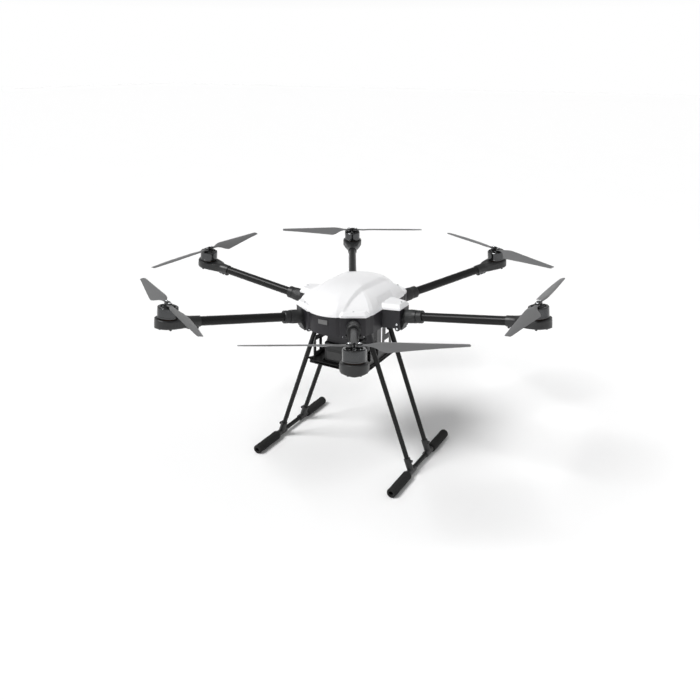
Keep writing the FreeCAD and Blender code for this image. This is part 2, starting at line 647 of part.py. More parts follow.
def socket_screw_places():
    head = strut_line()[1]
    return [(a * x, b * y) for x, y in flange_screws(head) for a in (-1, 1) for b in (-1, 1)]


def tee():
    foot, head, way = strut_line()
    y0, y1 = STRUT_PLANE - TEE_HALF_LENGTH, STRUT_PLANE + TEE_HALF_LENGTH
    sleeve = rod(TEE_RADIUS, (foot.x, y0, foot.z), (foot.x, y1, foot.z))
    riser = rod(TEE_RADIUS, foot, foot + way * TEE_RISE)
    wide, deep, tall = TEE_EAR
    top = foot + way * (TEE_RISE - tall)
    ear = box((top.x, top.x + TEE_RADIUS + wide / 2), (top.y - deep / 2, top.y + deep / 2),
              (top.z - tall / 2, top.z + tall / 2))
    body = joined([sleeve, riser, ear])
    body = body.cut(rod(GEAR_TUBE_RADIUS, (foot.x, y0 - 1, foot.z), (foot.x, y1 + 1, foot.z)))
    return body.cut(rod(GEAR_TUBE_RADIUS, foot + way * STRUT_BOTTOM_GAP, head))


def skid(side):
    ends = [(side * SKID_TRACK_HALF, y, SKID_HEIGHT) for y in (-SKID_HALF_LENGTH, SKID_HALF_LENGTH)]
    return pipe(GEAR_TUBE_RADIUS, GEAR_TUBE_WALL, *ends)


def foam_sleeve():
    ends = [(SKID_TRACK_HALF, y, SKID_HEIGHT) for y in (FOAM_INNER_END, FOAM_OUTER_END)]
    return pipe(FOAM_RADIUS, FOAM_RADIUS - GEAR_TUBE_RADIUS, *ends)


# ---- battery bay ---------------------------------------------------------------------------------
def tray_plates():
    """Two thin plates, and the battery's guides standing on the upper one."""
    low, high = TRAY_HEIGHT, tray_top
    lower = rounded_box(TRAY_HALF_WIDTH, TRAY_HALF_LENGTH, low, low + TRAY_PLATE, TRAY_CORNER)
    upper = rounded_box(TRAY_HALF_WIDTH, TRAY_HALF_LENGTH, high - TRAY_PLATE, high, TRAY_CORNER)
    x, y = LATCH_PIVOT
    upper = upper.cut(rod(LATCH_PIN_RADIUS, (-x, -y, low), (-x, -y, high + 1)))
    for place in payload_holes():
        hole = rod(PAYLOAD_HOLE_RADIUS, (*place, low - 1), (*place, low + TRAY_PLATE + 1))
        lower = lower.cut(hole)
    inner = BATTERY_HALF_WIDTH + GUIDE_GAP
    guide = box((inner, inner + GUIDE_WIDTH), (-BATTERY_HALF_LENGTH, BATTERY_HALF_LENGTH),
                (high, high + GUIDE_HEIGHT))
    return [lower, upper, guide, guide.mirror(Vector(0, 0, 0), X)]


def payload_holes():
    return [(a * PAYLOAD_HOLE_X, b * PAYLOAD_HOLE_Y) for a in (-1, 1) for b in (-1, 1)]


def tray_spacers():
    """Short posts between the two tray plates."""
    low, high = TRAY_HEIGHT + TRAY_PLATE, tray_top - TRAY_PLATE
    posts = []
    for x, y in TRAY_SPACERS:
        posts += mirrored_four(rod(STANDOFF_RADIUS, (x, y, low), (x, y, high)))
    return posts


def side_plate():
    """Right-hand plate from the tray up to the body, with its windows."""
    x = (SIDE_PLATE_X, SIDE_PLATE_X + SIDE_PLATE)
    half = SIDE_PLATE_HALF_LENGTH
    neck = STRUT_PLANE - SOCKET_FLANGE[1] / 2 - SIDE_PLATE_FLANGE_GAP
    low, shoulder = tray_top, SIDE_PLATE_SHOULDER
    run, drop = SIDE_PLATE_CORNER
    loop = [(-half, low), (half, low), (half, shoulder - drop), (half - run, shoulder),
            (neck, shoulder), (neck, BELLY_HEIGHT), (-neck, BELLY_HEIGHT), (-neck, shoulder),
            (run - half, shoulder), (-half, shoulder - drop)]
    points = [Vector(x[0], y, z) for y, z in loop]
    plate = Part.Face(Part.makePolygon(points + points[:1])).extrude(Vector(SIDE_PLATE, 0, 0))
    for y, (bottom, top) in SIDE_WINDOWS:
        z = (low + bottom, low + top)
        plate = plate.cut(box((x[0] - 1, x[1] + 1), y, z))
    return plate


def battery():
    low = tray_top + BATTERY_LIFT
    return rounded_box(BATTERY_HALF_WIDTH, BATTERY_HALF_LENGTH, low, low + BATTERY_HEIGHT,
                       BATTERY_CORNER)


def battery_latch():
    """Thumb lever on a pin at the tray's front left corner."""
    x, y = -LATCH_PIVOT[0], -LATCH_PIVOT[1]
    low = tray_top + LATCH_GAP
    long, wide, thick = LATCH_BAR
    hub = rod(LATCH_RADIUS, (x, y, low), (x, y, low + thick))
    bar = box((x - long, x), (y - wide / 2, y + wide / 2), (low, low + thick))
    tip = rod(wide / 2, (x - long, y, low), (x - long, y, low + thick))
    pin = rod(LATCH_PIN_RADIUS - LATCH_GAP / 3, (x, y, TRAY_HEIGHT + TRAY_PLATE + LATCH_GAP), (x, y, low))
    lever = joined([hub, bar, tip]).rotated(Vector(x, y, 0), Z, LATCH_TURN_DEG)
    return lever.fuse(pin).removeSplitter()


# ---- arm parts, modelled along +X from the root of the tube --------------------------------------
def knuckle():
    """Hinge knuckle: barrel on the pin, a round face against the lug and the tube's spigot."""
    tilt = Placement(Vector(ARM_ROOT_RADIUS, 0, arm_root_height), Rotation(Y, -ARM_RISE_DEG))
    face = LUG_END_RADIUS + KNUCKLE_GAP
    flange = rod(FLANGE_RADIUS, (-FLANGE_LENGTH, 0, 0), (0, 0, 0))
    spigot = rod(SPIGOT_RADIUS, (-FLANGE_LENGTH, 0, 0), (spigot_end, 0, 0))
    ring = rod(RING_RADIUS, (spigot_end - RING_LENGTH, 0, 0), (spigot_end, 0, 0))
    ring = ring.makeChamfer(RING_CHAMFER, [e for e in ring.Edges if e.Closed])
    body = placed(joined([flange, spigot, ring]), tilt)
    body = body.common(box((face, FAR), (-FAR, FAR), (0, FAR)))
    wide = EAR_INNER - KNUCKLE_GAP
    low, high = PIVOT_HEIGHT - BARREL_RADIUS, PIVOT_HEIGHT + BARREL_RADIUS
    barrel = rod(BARREL_RADIUS, (PIVOT_RADIUS, -wide, PIVOT_HEIGHT), (PIVOT_RADIUS, wide, PIVOT_HEIGHT))
    half = WEB_HALF_WIDTH
    web = box((PIVOT_RADIUS, face + 1), (-half, half), (low, high))
    slope = [(PIVOT_RADIUS, low), (face, low), (face + CHIN_REACH, arm_root_height - SPIGOT_RADIUS),
             (face + 1, arm_root_height), (face, arm_root_height), (face, high), (PIVOT_RADIUS, high)]
    corners = [Vector(x, -half, z) for x, z in slope]
    chin = Part.Face(Part.makePolygon(corners + corners[:1])).extrude(Vector(0, 2 * half, 0))
    chin = chin.cut(placed(rod(COLLAR_RADIUS + KNUCKLE_GAP, (0, 0, 0), (COLLAR_LENGTH, 0, 0)), tilt))
    body = joined([body, barrel, web, chin])
    bore = rod(PIN_RADIUS + PIN_CLEARANCE, (PIVOT_RADIUS, -EAR_INNER, PIVOT_HEIGHT),
               (PIVOT_RADIUS, EAR_INNER, PIVOT_HEIGHT))
    socket_bore = placed(rod(TUBE_RADIUS, (0, 0, 0), (spigot_end + 1, 0, 0)), tilt)
    return body.cut(bore).cut(socket_bore)


def collar():
    """Lock collar turning on the spigot."""
    start, end = COLLAR_END_GAP, collar_end
    body = rod(COLLAR_RADIUS, (start, 0, 0), (end, 0, 0))
    rims = [e for e in body.Edges if e.Closed]
    body = body.makeChamfer(COLLAR_CHAMFER, rims)
    return body.cut(rod(SPIGOT_RADIUS + COLLAR_CLEARANCE, (start - 1, 0, 0), (end + 1, 0, 0)))


def tube():
    return pipe(TUBE_RADIUS, TUBE_WALL, (0, 0, 0), (motor_along - TUBE_END_GAP, 0, 0))


def mount_housing():
    """Round motor mount with its clamp sleeve, about the motor's axis at the origin."""
    disc = rod(MOUNT_RADIUS, (0, 0, -MOUNT_BELOW), (0, 0, MOUNT_ABOVE))
    rims = [e for e in disc.Edges if e.Closed]
    disc = disc.makeFillet(MOUNT_ROUND, rims)
    sleeve = rod(CLAMP_RADIUS, (-CLAMP_REACH, 0, 0), (SLEEVE_OVERLAP - MOUNT_RADIUS, 0, 0))
    outline = [(-x, y) for x, y in NECK_OUTLINE] + [(-x, -y) for x, y in reversed(NECK_OUTLINE)]
    neck = prism(outline, -NECK_HALF_HEIGHT, NECK_HALF_HEIGHT)
    side = [(-KEEL_ENDS[0], 0), (-KEEL_ENDS[0], -MOUNT_BELOW), (-KEEL_FLAT[0], -KEEL_DEPTH),
            (-KEEL_FLAT[1], -KEEL_DEPTH), (-KEEL_ENDS[1], -CLAMP_RADIUS), (-KEEL_ENDS[1], 0)]
    corners = [Vector(x, -KEEL_HALF_WIDTH, z) for x, z in side]
    keel = Part.Face(Part.makePolygon(corners + corners[:1])).extrude(Vector(0, 2 * KEEL_HALF_WIDTH, 0))
    foot = rod(FOOT_RADIUS, (MOUNT_RADIUS - FOOT_INSET, 0, -MOUNT_BELOW - FOOT_HEIGHT),
               (MOUNT_RADIUS - FOOT_INSET, 0, -MOUNT_BELOW + 1))
    feet = spun(foot.rotated(Vector(0, 0, 0), Z, 180.0 / FOOT_COUNT), FOOT_COUNT)
    body = joined([disc, sleeve, neck, keel] + feet)
    inner = MOUNT_RADIUS - MOUNT_WALL
    cavity = rod(inner, (0, 0, MOUNT_WALL - MOUNT_BELOW), (0, 0, MOUNT_ABOVE - MOUNT_WALL))
    body = body.cut(cavity)
    body = body.cut(rod(TUBE_RADIUS, (-CLAMP_REACH - 1, 0, 0), (-TUBE_END_GAP, 0, 0)))
    for place in CLAMP_BOLT_PLACES:
        body = body.cut(clamp_bolt(place))
    return body.cut(rod(SHAFT_RADIUS + SHAFT_CLEARANCE, (0, 0, 0), (0, 0, MOUNT_ABOVE + 1)))


def clamp_bolt(place):
    """Cross bolt through the keel of the clamp sleeve."""
    half = KEEL_HALF_WIDTH + CLAMP_BOLT_PROUD
    return rod(CLAMP_BOLT_RADIUS, (-place, -half, -CLAMP_BOLT_DROP), (-place, half, -CLAMP_BOLT_DROP))


def stator():
    """Wound stator standing on the mount."""
    low = MOUNT_ABOVE
    core = rod(STATOR_RADIUS, (0, 0, low), (0, 0, low + STATOR_HEIGHT))
    core = core.cut(rod(STATOR_BORE, (0, 0, low - 1), (0, 0, low + STATOR_HEIGHT + 1)))
    half = STATOR_SLOT_WIDTH / 2
    slot = box((STATOR_BORE + STATOR_CORE, STATOR_RADIUS + 1), (-half, half),
               (low + CAN_GAP + 1, low + STATOR_HEIGHT + 1))
    for cut in spun(slot, STATOR_TEETH):
        core = core.cut(cut)
    return core


def speed_board():
    x, y, z = BOARD_SIZE
    low = MOUNT_WALL - MOUNT_BELOW
    return box((BOARD_SETOFF - x / 2, BOARD_SETOFF + x / 2), (-y / 2, y / 2), (low, low + z))


def motor_mount():
    """Mount housing, its clamp bolts, speed controller board and stator, moved out to the motor's axis."""
    parts = [mount_housing(), speed_board(), stator()] + [clamp_bolt(p) for p in CLAMP_BOLT_PLACES]
    return [p.translated(Vector(motor_along, 0, 0)) for p in parts]


def hub_plate(low, high):
    """Stadium plate across the two fold bolts."""
    half, end = HUB_PLATE_HALF_WIDTH, FOLD_BOLT_OFFSET
    ends = [rod(half, (0, s * end, low), (0, s * end, high)) for s in (-1, 1)]
    return joined([box((-half, half), (-end, end), (low, high))] + ends)


def rotor():
    """Motor can on its shaft with the two hub plates and the fold bolts."""
    can = rod(CAN_RADIUS, (0, 0, can_bottom), (0, 0, can_top))
    can = can.makeFillet(CAN_ROUND, [e for e in can.Edges if e.Closed and e.CenterOfMass.z > can_top - 1])
    can = can.cut(rod(CAN_RADIUS - CAN_WALL, (0, 0, can_bottom - 1), (0, 0, can_top - CAN_TOP)))
    window = rod(WINDOW_RADIUS, (WINDOW_CIRCLE, 0, can_top - CAN_TOP - 1), (WINDOW_CIRCLE, 0, can_top + 1))
    for cut in spun(window, CAN_WINDOWS):
        can = can.cut(cut)
    lower = eye_bottom - EYE_GAP - HUB_PLATE
    upper = eye_top + EYE_GAP
    boss = rod(BOSS_RADIUS, (0, 0, can_top - 1), (0, 0, lower))
    shaft = rod(SHAFT_RADIUS, (0, 0, SHAFT_START), (0, 0, can_top))
    post = rod(HUB_POST_RADIUS, (0, 0, lower), (0, 0, upper + HUB_PLATE))
    body = joined([can, boss, shaft, post, hub_plate(lower, lower + HUB_PLATE),
                   hub_plate(upper, upper + HUB_PLATE)])
    bolts = []
    for side in (-1, 1):
        y = side * FOLD_BOLT_OFFSET
        shank = rod(FOLD_BOLT_RADIUS, (0, y, lower), (0, y, upper + HUB_PLATE))
        top = upper + HUB_PLATE
        head = rod(FOLD_BOLT_HEAD, (0, y, top), (0, y, top + FOLD_BOLT_HEAD_HEIGHT))
        bolts.append(shank.fuse(head).removeSplitter())
        body = body.cut(shank)
    return [p.translated(Vector(motor_along, 0, 0)) for p in [body] + bolts]


def blade_section(station, way):
    """A thin lens-shaped section across the blade, pitched about the blade's line."""
    distance, lead, trail, thick, pitch = station
    chord = lead + trail
    angle = math.radians(pitch)
    points = []
    for share, up in BLADE_SECTION:
        across = lead - share * chord
        lift = up * thick
        y = across * math.cos(angle) - lift * math.sin(angle)
        z = across * math.sin(angle) + lift * math.cos(angle)
        points.append(Vector(distance, way * y, PROP_ABOVE_TUBE + z))
    return Part.makePolygon(points + points[:1])


def blade(way):
    """A blade along +X from the hub; way is the side its leading edge faces."""
    wing = Part.makeLoft([blade_section(s, way) for s in BLADE_STATIONS], True, True)
    eye = rod(EYE_RADIUS, (FOLD_BOLT_OFFSET, 0, eye_bottom), (FOLD_BOLT_OFFSET, 0, eye_top))
    first = BLADE_STATIONS[0]
    neck_end = first[0] - NECK_TO_BLADE
    neck = box((FOLD_BOLT_OFFSET, neck_end), (-BLADE_NECK_HALF, BLADE_NECK_HALF), (eye_bottom, eye_top))
    square = [Vector(neck_end, way * BLADE_NECK_HALF * y, PROP_ABOVE_TUBE + EYE_THICKNESS / 2 * z)
              for y, z in NECK_SECTION]
    taper = Part.makeLoft([Part.makePolygon(square + square[:1]), blade_section(first, way)], True, True)
    body = joined([wing, taper, neck, eye])
    hole = rod(FOLD_BOLT_RADIUS + FOLD_CLEARANCE, (FOLD_BOLT_OFFSET, 0, 0), (FOLD_BOLT_OFFSET, 0, FAR))
    return body.cut(hole)


def on_motor(shape, quarter_turns):
    """Turn a blade about the motor's axis and move it out there."""
    return shape.rotated(Vector(0, 0, 0), Z, 90.0 * quarter_turns).translated(Vector(motor_along, 0, 0))


# ---- write every node ----------------------------------------------------------------------------
write("top_cover", top_cover())
write("lower_shell", lower_shell())
write("arm_lugs", *[arm_lug(a) for a in ARM_ANGLES.values()])
write("frame_plates", frame_plate(lower_frame), frame_plate(upper_frame))
write("standoffs", *(standoffs() + tray_spacers()))
write("flight_controller", block_on(CONTROLLER, CONTROLLER_Y, upper_frame + FRAME_PLATE))
write("power_board", block_on(POWER_BOARD, 0.0, lower_frame + FRAME_PLATE))
write("name_plate", name_plate())
write("strut_sockets", *mirrored_four(socket()))
write("struts", *mirrored_four(strut()))
write("tee_joints", *mirrored_four(tee()))
write("skid_tubes", skid(-1), skid(1))
write("foam_sleeves", *mirrored_four(foam_sleeve()))
write("tray_plates", *tray_plates())
write("side_plates", side_plate(), side_plate().mirror(Vector(0, 0, 0), X))
write("battery", battery())
write("battery_latch", battery_latch())
cap_screws = [screw(around(CAP_SCREW_RADIUS, a), RIM_HEIGHT + CAP_HEIGHT, CAP_SCREW_LENGTH)
              for a in ARM_ANGLES.values()]
foot_screws = [screw(p, BELLY_HEIGHT - SOCKET_FLANGE[2], FOOT_SCREW_LENGTH) for p in socket_screw_places()]
under = [s.mirror(Vector(0, 0, BELLY_HEIGHT - SOCKET_FLANGE[2]), Z) for s in foot_screws]
hinge_pins = [turned(hinge_pin(), a) for a in ARM_ANGLES.values()]
lug_bolts = [turned(joined(list(lug_bolt(side))), a)
             for a in ARM_ANGLES.values() if is_side_lug(a) for side in (-1, 1)]
write("pins_and_screws", *(hinge_pins + lug_bolts + cap_screws + under))

for name, angle in ARM_ANGLES.items():
    way = -1 if name in CLOCKWISE else 1
    write("arm_knuckle_" + name, turned(knuckle(), angle))
    write("lock_collar_" + name, on_arm(collar(), angle))
    write("arm_tube_" + name, on_arm(tube(), angle))
    write("motor_mount_" + name, *[on_arm(s, angle) for s in motor_mount()])
    write("rotor_" + name, *[on_arm(s, angle) for s in rotor()])
    for letter, turns in (("a", 1), ("b", 3)):
        write("blade_" + letter + "_" + name, on_arm(on_motor(blade(way), turns), angle))
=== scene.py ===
import json
import math
import bmesh
import bpy
import numpy as np
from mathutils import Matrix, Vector


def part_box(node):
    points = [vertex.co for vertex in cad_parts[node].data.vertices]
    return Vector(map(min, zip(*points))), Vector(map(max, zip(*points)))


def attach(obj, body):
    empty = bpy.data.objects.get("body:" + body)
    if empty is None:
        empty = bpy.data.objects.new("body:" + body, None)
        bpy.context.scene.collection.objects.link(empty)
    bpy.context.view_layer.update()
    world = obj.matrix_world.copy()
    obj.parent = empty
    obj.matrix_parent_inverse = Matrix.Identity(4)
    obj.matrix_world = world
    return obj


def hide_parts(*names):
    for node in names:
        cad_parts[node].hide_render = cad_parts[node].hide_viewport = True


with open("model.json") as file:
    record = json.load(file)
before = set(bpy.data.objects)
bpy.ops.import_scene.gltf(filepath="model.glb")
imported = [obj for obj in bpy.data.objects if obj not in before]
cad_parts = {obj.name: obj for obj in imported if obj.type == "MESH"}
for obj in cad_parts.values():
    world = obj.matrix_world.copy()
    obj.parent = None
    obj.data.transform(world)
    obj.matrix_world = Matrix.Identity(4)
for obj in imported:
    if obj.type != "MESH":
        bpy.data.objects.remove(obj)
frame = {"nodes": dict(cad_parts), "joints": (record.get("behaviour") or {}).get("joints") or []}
for name in ("Cube", "Light", "Camera"):  # what a new file starts with
    if name in bpy.data.objects:
        bpy.data.objects.remove(bpy.data.objects[name])
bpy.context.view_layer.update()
print("frame loaded:", len(frame["nodes"]), "nodes")

mm = 0.001
tau = 2 * math.pi
joints = {j["name"]: j for j in frame["joints"]}
armNames = sorted(n[len("arm_tube_"):] for n in frame["nodes"] if n.startswith("arm_tube_"))
clockwise = ("right", "rear_left", "front_left")


# a wrapped socket: an expression on values adds its Math nodes
class Value:
    def __init__(self, tree, socket):
        self.tree, self.socket = tree, socket

    def math(self, operation, *others):
        node = self.tree.nodes.new("ShaderNodeMath")
        node.operation = operation
        for slot, item in zip(node.inputs, (self,) + others):
            if isinstance(item, Value):
                self.tree.links.new(item.socket, slot)
            else:
                slot.default_value = item
        return Value(self.tree, node.outputs[0])

    def __add__(self, other): return self.math("ADD", other)
    def __mul__(self, other): return self.math("MULTIPLY", other)
    def __sub__(self, other): return self.math("SUBTRACT", other)
    def __truediv__(self, other): return self.math("DIVIDE", other)
    def __neg__(self): return self.math("MULTIPLY", -1.0)
    def __rsub__(self, other): return (-self) + other
    def clamp(self, low=0.0, high=1.0): return self.math("MAXIMUM", low).math("MINIMUM", high)
    def above(self, edge): return self.math("GREATER_THAN", edge)
    __radd__ = __add__
    __rmul__ = __mul__


# one material: its nodes come from node(), its maths from Value
class Finish:
    def __init__(self, name, **constants):
        self.material = bpy.data.materials.new(name)
        self.material.use_nodes = True
        self.tree = self.material.node_tree
        self.shader = self.tree.nodes["Principled BSDF"]
        self.set(**constants)

    def node(self, kind, settings=None, inputs=None, out=0):
        made = self.tree.nodes.new(kind)
        for key, item in (settings or {}).items():
            setattr(made, key, item)
        for key, item in (inputs or {}).items():
            self.feed(made.inputs[key], item)
        return Value(self.tree, made.outputs[out])

    def feed(self, socket, item):
        if isinstance(item, Value):
            self.tree.links.new(item.socket, socket)
        else:
            socket.default_value = item

    def set(self, **inputs):
        for socket, item in inputs.items():
            self.feed(self.shader.inputs[socket.replace("_", " ")], item)

    def point(self):
        return self.node("ShaderNodeTexCoord", out=3)

    def uv(self):
        return self.node("ShaderNodeUVMap", {"uv_map": "surface"})

    def split(self, vector):
        made = self.tree.nodes.new("ShaderNodeSeparateXYZ")
        self.tree.links.new(vector.socket, made.inputs[0])
        return [Value(self.tree, o) for o in made.outputs]

    def noise(self, vector, scale, detail=3.0, roughness=0.55):
        return self.node("ShaderNodeTexNoise", None,
                         {"Vector": vector, "Scale": scale, "Detail": detail, "Roughness": roughness})

    def cells(self, vector, scale):
        return self.node("ShaderNodeTexVoronoi", None, {"Vector": vector, "Scale": scale})

    def mix(self, factor, low, high):
        return self.node("ShaderNodeMix", {"data_type": "RGBA"}, {0: factor, 6: low, 7: high}, out=2)

    def stretch(self, vector, scale):
        return self.node("ShaderNodeMapping", None, {"Vector": vector, "Scale": scale})

    def bump(self, height, distance, strength=1.0):
        self.set(Normal=self.node("ShaderNodeBump", None,
                                  {"Height": height, "Distance": distance, "Strength": strength}))


def grey(value, tint=0.0):
    return (value * (1 - tint), value, value * (1 + tint), 1.0)


def whiteCoverFinish():
    # satin white moulding: faint orange peel and a little cloud in the tone
    f = Finish("whiteCover", Coat_Weight=0.3, Coat_Roughness=0.16)
    p = f.point()
    cloud, peel = f.noise(p, 9.0, 4.0), f.noise(p, 420.0, 2.0)
    f.set(Base_Color=f.mix(cloud, (0.80, 0.80, 0.815, 1), (0.86, 0.86, 0.865, 1)),
          Roughness=0.27 + 0.10 * cloud)
    f.bump(peel, 0.06 * mm, 0.35)
    return f


def blackShellFinish():
    # moulded black plastic with a fine spark-eroded grain
    f = Finish("blackShell", Specular_IOR_Level=0.4)
    p = f.point()
    grain, cloud = f.noise(p, 1500.0, 2.0, 0.6), f.noise(p, 14.0, 3.0)
    f.set(Base_Color=f.mix(cloud, (0.010, 0.0095, 0.012, 1), (0.016, 0.015, 0.018, 1)),
          Roughness=0.40 + 0.14 * cloud)
    f.bump(grain, 0.12 * mm, 0.5)
    return f


def weaveFinish(name, byUv, pitch=2.4 * mm, dark=0.004, light=0.015):
    # 2 by 2 twill: a tow lies on top where (column - row) mod 4 is under 2; each tow is also painted lighter
    #               along its arched crown, a painted sheen
    f = Finish(name, Coat_Weight=0.06, Coat_Roughness=0.2, Specular_IOR_Level=0.16)
    if byUv:
        u, v, _ = f.split(f.uv())
    else:
        x, y, _ = f.split(f.point())
        u, v = (x + y) * 0.7071, (x - y) * 0.7071
    column, row = u / pitch, v / pitch
    step = (column.math("FLOOR") - row.math("FLOOR")).math("FLOORED_MODULO", 4.0)
    warp = 1.0 - step.above(1.5)
    alongTow = warp * column.math("FRACT") + (1.0 - warp) * row.math("FRACT")
    crown = (alongTow * math.pi).math("SINE")
    wear = f.noise(f.point(), 30.0, 3.0)
    # colour: the two tow directions, random wear, and a painted highlight along each tow's crown; the crown's
    # bump below is real relief
    tone = (warp * 0.55 + crown * 0.35 + wear * 0.1).clamp()
    f.set(Base_Color=f.mix(tone, grey(dark), grey(light)), Roughness=0.26 + 0.12 * wear)
    f.bump(crown, 0.1 * mm, 0.5)
    return f


def anodisedFinish(name, dark, light, rough):
    # black anodised aluminium: fine blasted grain and rubbed patches
    f = Finish(name, Metallic=0.85)
    p = f.point()
    rubbed, grain = f.noise(p, 35.0, 5.0, 0.6), f.noise(p, 2200.0, 1.0)
    f.set(Base_Color=f.mix(rubbed, grey(dark, 0.02), grey(light, 0.02)), Roughness=rough + 0.16 * rubbed)
    f.bump(grain, 0.05 * mm, 0.35)
    return f


def turnedFinish(name, shade, rough, rings=1800.0):
    # turned metal: fine rings along the piece's own length, its second uv
    f = Finish(name, Metallic=1.0)
    _, v, _ = f.split(f.uv())
    ring = (v * rings * tau).math("SINE") * 0.5 + 0.5
    rubbed = f.noise(f.point(), 60.0, 4.0)
    f.set(Base_Color=f.mix(rubbed, grey(shade * 0.8, 0.02), grey(shade * 1.15, 0.02)),
          Roughness=rough + 0.10 * rubbed)
    f.bump(ring, 0.02 * mm, 0.3)
    return f


def foamFinish():
    # foam: round pore holes cut through a matte skin, each painted darker towards its middle as painted shade
    # in the pit
    f = Finish("foamSleeve", Specular_IOR_Level=0.25)
    p = f.point()
    poresAndShade, cloud = f.cells(p, 520.0), f.noise(p, 40.0, 4.0)
    # the pore pattern darkens the colour inside each pit: painted shade, beside the real pits of its bump
    f.set(Base_Color=f.mix(poresAndShade * 1.4, grey(0.008), grey(0.022)), Roughness=0.82 + 0.14 * cloud)
    f.bump(poresAndShade * 0.7 + cloud * 0.6, 0.5 * mm, 0.8)
    return f


def bladeFinish():
    # glass-filled nylon: streaks of fibre along the span, satin
    f = Finish("bladeNylon")
    streak = f.noise(f.stretch(f.uv(), (900.0, 30.0, 1.0)), 1.0, 5.0, 0.6)
    cloud = f.noise(f.point(), 22.0, 3.0)
    f.set(Base_Color=f.mix(streak, grey(0.105, 0.01), grey(0.150, 0.01)), Roughness=0.36 + 0.12 * cloud)
    f.bump(streak, 0.08 * mm, 0.4)
    return f


def brushedFinish(name, low, high, metallic=0.7):
    # brushed grey sheet, the strokes fine across X and long across Y and Z
    f = Finish(name, Metallic=metallic)
    p = f.point()
    brushed, cloud = f.noise(f.stretch(p, (2600.0, 60.0, 60.0)), 1.0, 3.0), f.noise(p, 16.0, 3.0)
    f.set(Base_Color=f.mix(cloud, grey(low), grey(high)), Roughness=0.38 + 0.14 * brushed)
    f.bump(brushed, 0.03 * mm, 0.3)
    return f


def batteryFinish():
    # painted case with a leather-like grain
    f = Finish("batteryCase")
    p = f.point()
    grain, cloud = f.cells(p, 900.0), f.noise(p, 12.0, 3.0)
    f.set(Base_Color=f.mix(cloud, grey(0.016, 0.02), grey(0.023, 0.02)), Roughness=0.46 + 0.12 * cloud)
    f.bump(grain, 0.15 * mm, 0.35)
    return f


def plainFinish(name, low, high, rough, metallic=0.0, scale=60.0):
    # two tones of one colour through a soft noise, over a fine grain
    f = Finish(name, Metallic=metallic)
    cloud = f.noise(f.point(), scale, 4.0)
    f.set(Base_Color=f.mix(cloud, low, high), Roughness=rough + 0.12 * cloud)
    f.bump(f.noise(f.point(), 1600.0, 1.0), 0.05 * mm, 0.3)
    return f


white = whiteCoverFinish()
black = blackShellFinish()
carbonTube = weaveFinish("carbonTube", True)
carbonPlate = weaveFinish("carbonPlate", False)
blackMetal = anodisedFinish("blackMetal", 0.012, 0.026, 0.30)
canMetal = turnedFinish("canMetal", 0.085, 0.10)
boltSteel = turnedFinish("boltSteel", 0.75, 0.16)
foam = foamFinish()
bladeNylon = bladeFinish()
greyMetal = brushedFinish("greyMetal", 0.10, 0.14, 0.4)
batteryCase = batteryFinish()
plateGrey = brushedFinish("plateGrey", 0.12, 0.15, 0.3)
plateDark = plainFinish("plateDark", grey(0.035), grey(0.045), 0.45)
boardGreen = plainFinish("boardGreen", (0.012, 0.055, 0.03, 1), (0.02, 0.08, 0.045, 1), 0.45)
windings = plainFinish("statorWindings", (0.05, 0.022, 0.012, 1), (0.09, 0.04, 0.02, 1), 0.5, 0.6, 300.0)
print("finishes made:", len(bpy.data.materials))


# grids of points gathered into one mesh, with lengths along and around as its uv
class Form:
    def __init__(self):
        self.points, self.faces, self.places, self.count = [], [], [], 0

    # rows by columns by 3: neighbours are joined, rings close around, ends may be capped
    def grid(self, p, closed=True, loop=False, caps=True):
        p = np.asarray(p, float)
        rows, columns = p.shape[:2]
        i, j = [a.ravel() for a in np.meshgrid(np.arange(rows - (not loop)),
                                               np.arange(columns - (not closed)), indexing="ij")]
        steps = [(i, j), (i + 1, j), (i + 1, j + 1), (i, j + 1)]
        faces = np.stack([self.count + (a % rows) * columns + b % columns for a, b in steps], 1)
        around = np.linalg.norm(np.roll(p, -1, 1) - p, axis=2).max(0)
        along = np.linalg.norm(np.roll(p, -1, 0) - p, axis=2).max(1)
        u, v = [np.concatenate([[0], np.cumsum(a)]) for a in (around, along)]
        self.places += np.stack([np.stack([u[b], v[a]], 1) for a, b in steps], 1).reshape(-1, 2).tolist()
        self.faces += faces.tolist()
        if caps and closed and not loop:
            for ring in (np.arange(columns)[::-1], (rows - 1) * columns + np.arange(columns)):
                self.faces.append((self.count + ring).tolist())
                self.places += [[0.0, 0.0]] * columns
        self.points += p.reshape(-1, 3).tolist()
        self.count += rows * columns
        return self

    def make(self, name, body, slot, finish, nodes=(), angle=32.0):
        mesh = bpy.data.meshes.new(name)
        mesh.from_pydata(self.points, [], self.faces)
        mesh.uv_layers.new(name="surface").data.foreach_set("uv", np.array(self.places).ravel())
        work = bmesh.new()
        work.from_mesh(mesh)
        bmesh.ops.remove_doubles(work, verts=work.verts, dist=0.003 * mm)
        bmesh.ops.recalc_face_normals(work, faces=work.faces)
        work.to_mesh(mesh)
        work.free()
        mesh.shade_smooth()
        mesh.set_sharp_from_angle(angle=math.radians(angle))
        mesh.materials.append(finish.material)
        piece = bpy.data.objects.new(name, mesh)
        bpy.context.scene.collection.objects.link(piece)
        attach(piece, body)
        if nodes:
            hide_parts(*nodes)
        return piece


# an arm's own directions: along its tube, across it and up its motor, from the joints
def armFrame(name):
    spin, collar = joints["rotor_spin_" + name], joints["collar_turn_" + name]
    root, hub = np.array(collar["pos_m"]), np.array(spin["pos_m"])
    along, up = np.array(collar["axis"], float), np.array(spin["axis"], float)
    along *= np.sign(along @ (hub - root))
    up *= np.sign(up[2])
    foot = root + along * (along @ (hub - root))
    return {"root": root, "foot": foot, "hub": hub, "axes": np.stack([along, np.cross(up, along), up]),
            "reach": along @ (hub - root), "rise": up @ (hub - foot)}


arms = {name: armFrame(name) for name in armNames}


# points in millimetres along an arm's directions, from its root, its motor's foot or its hub
def onArm(arm, p, start="root"):
    return arm[start] + np.asarray(p) * mm @ arm["axes"]


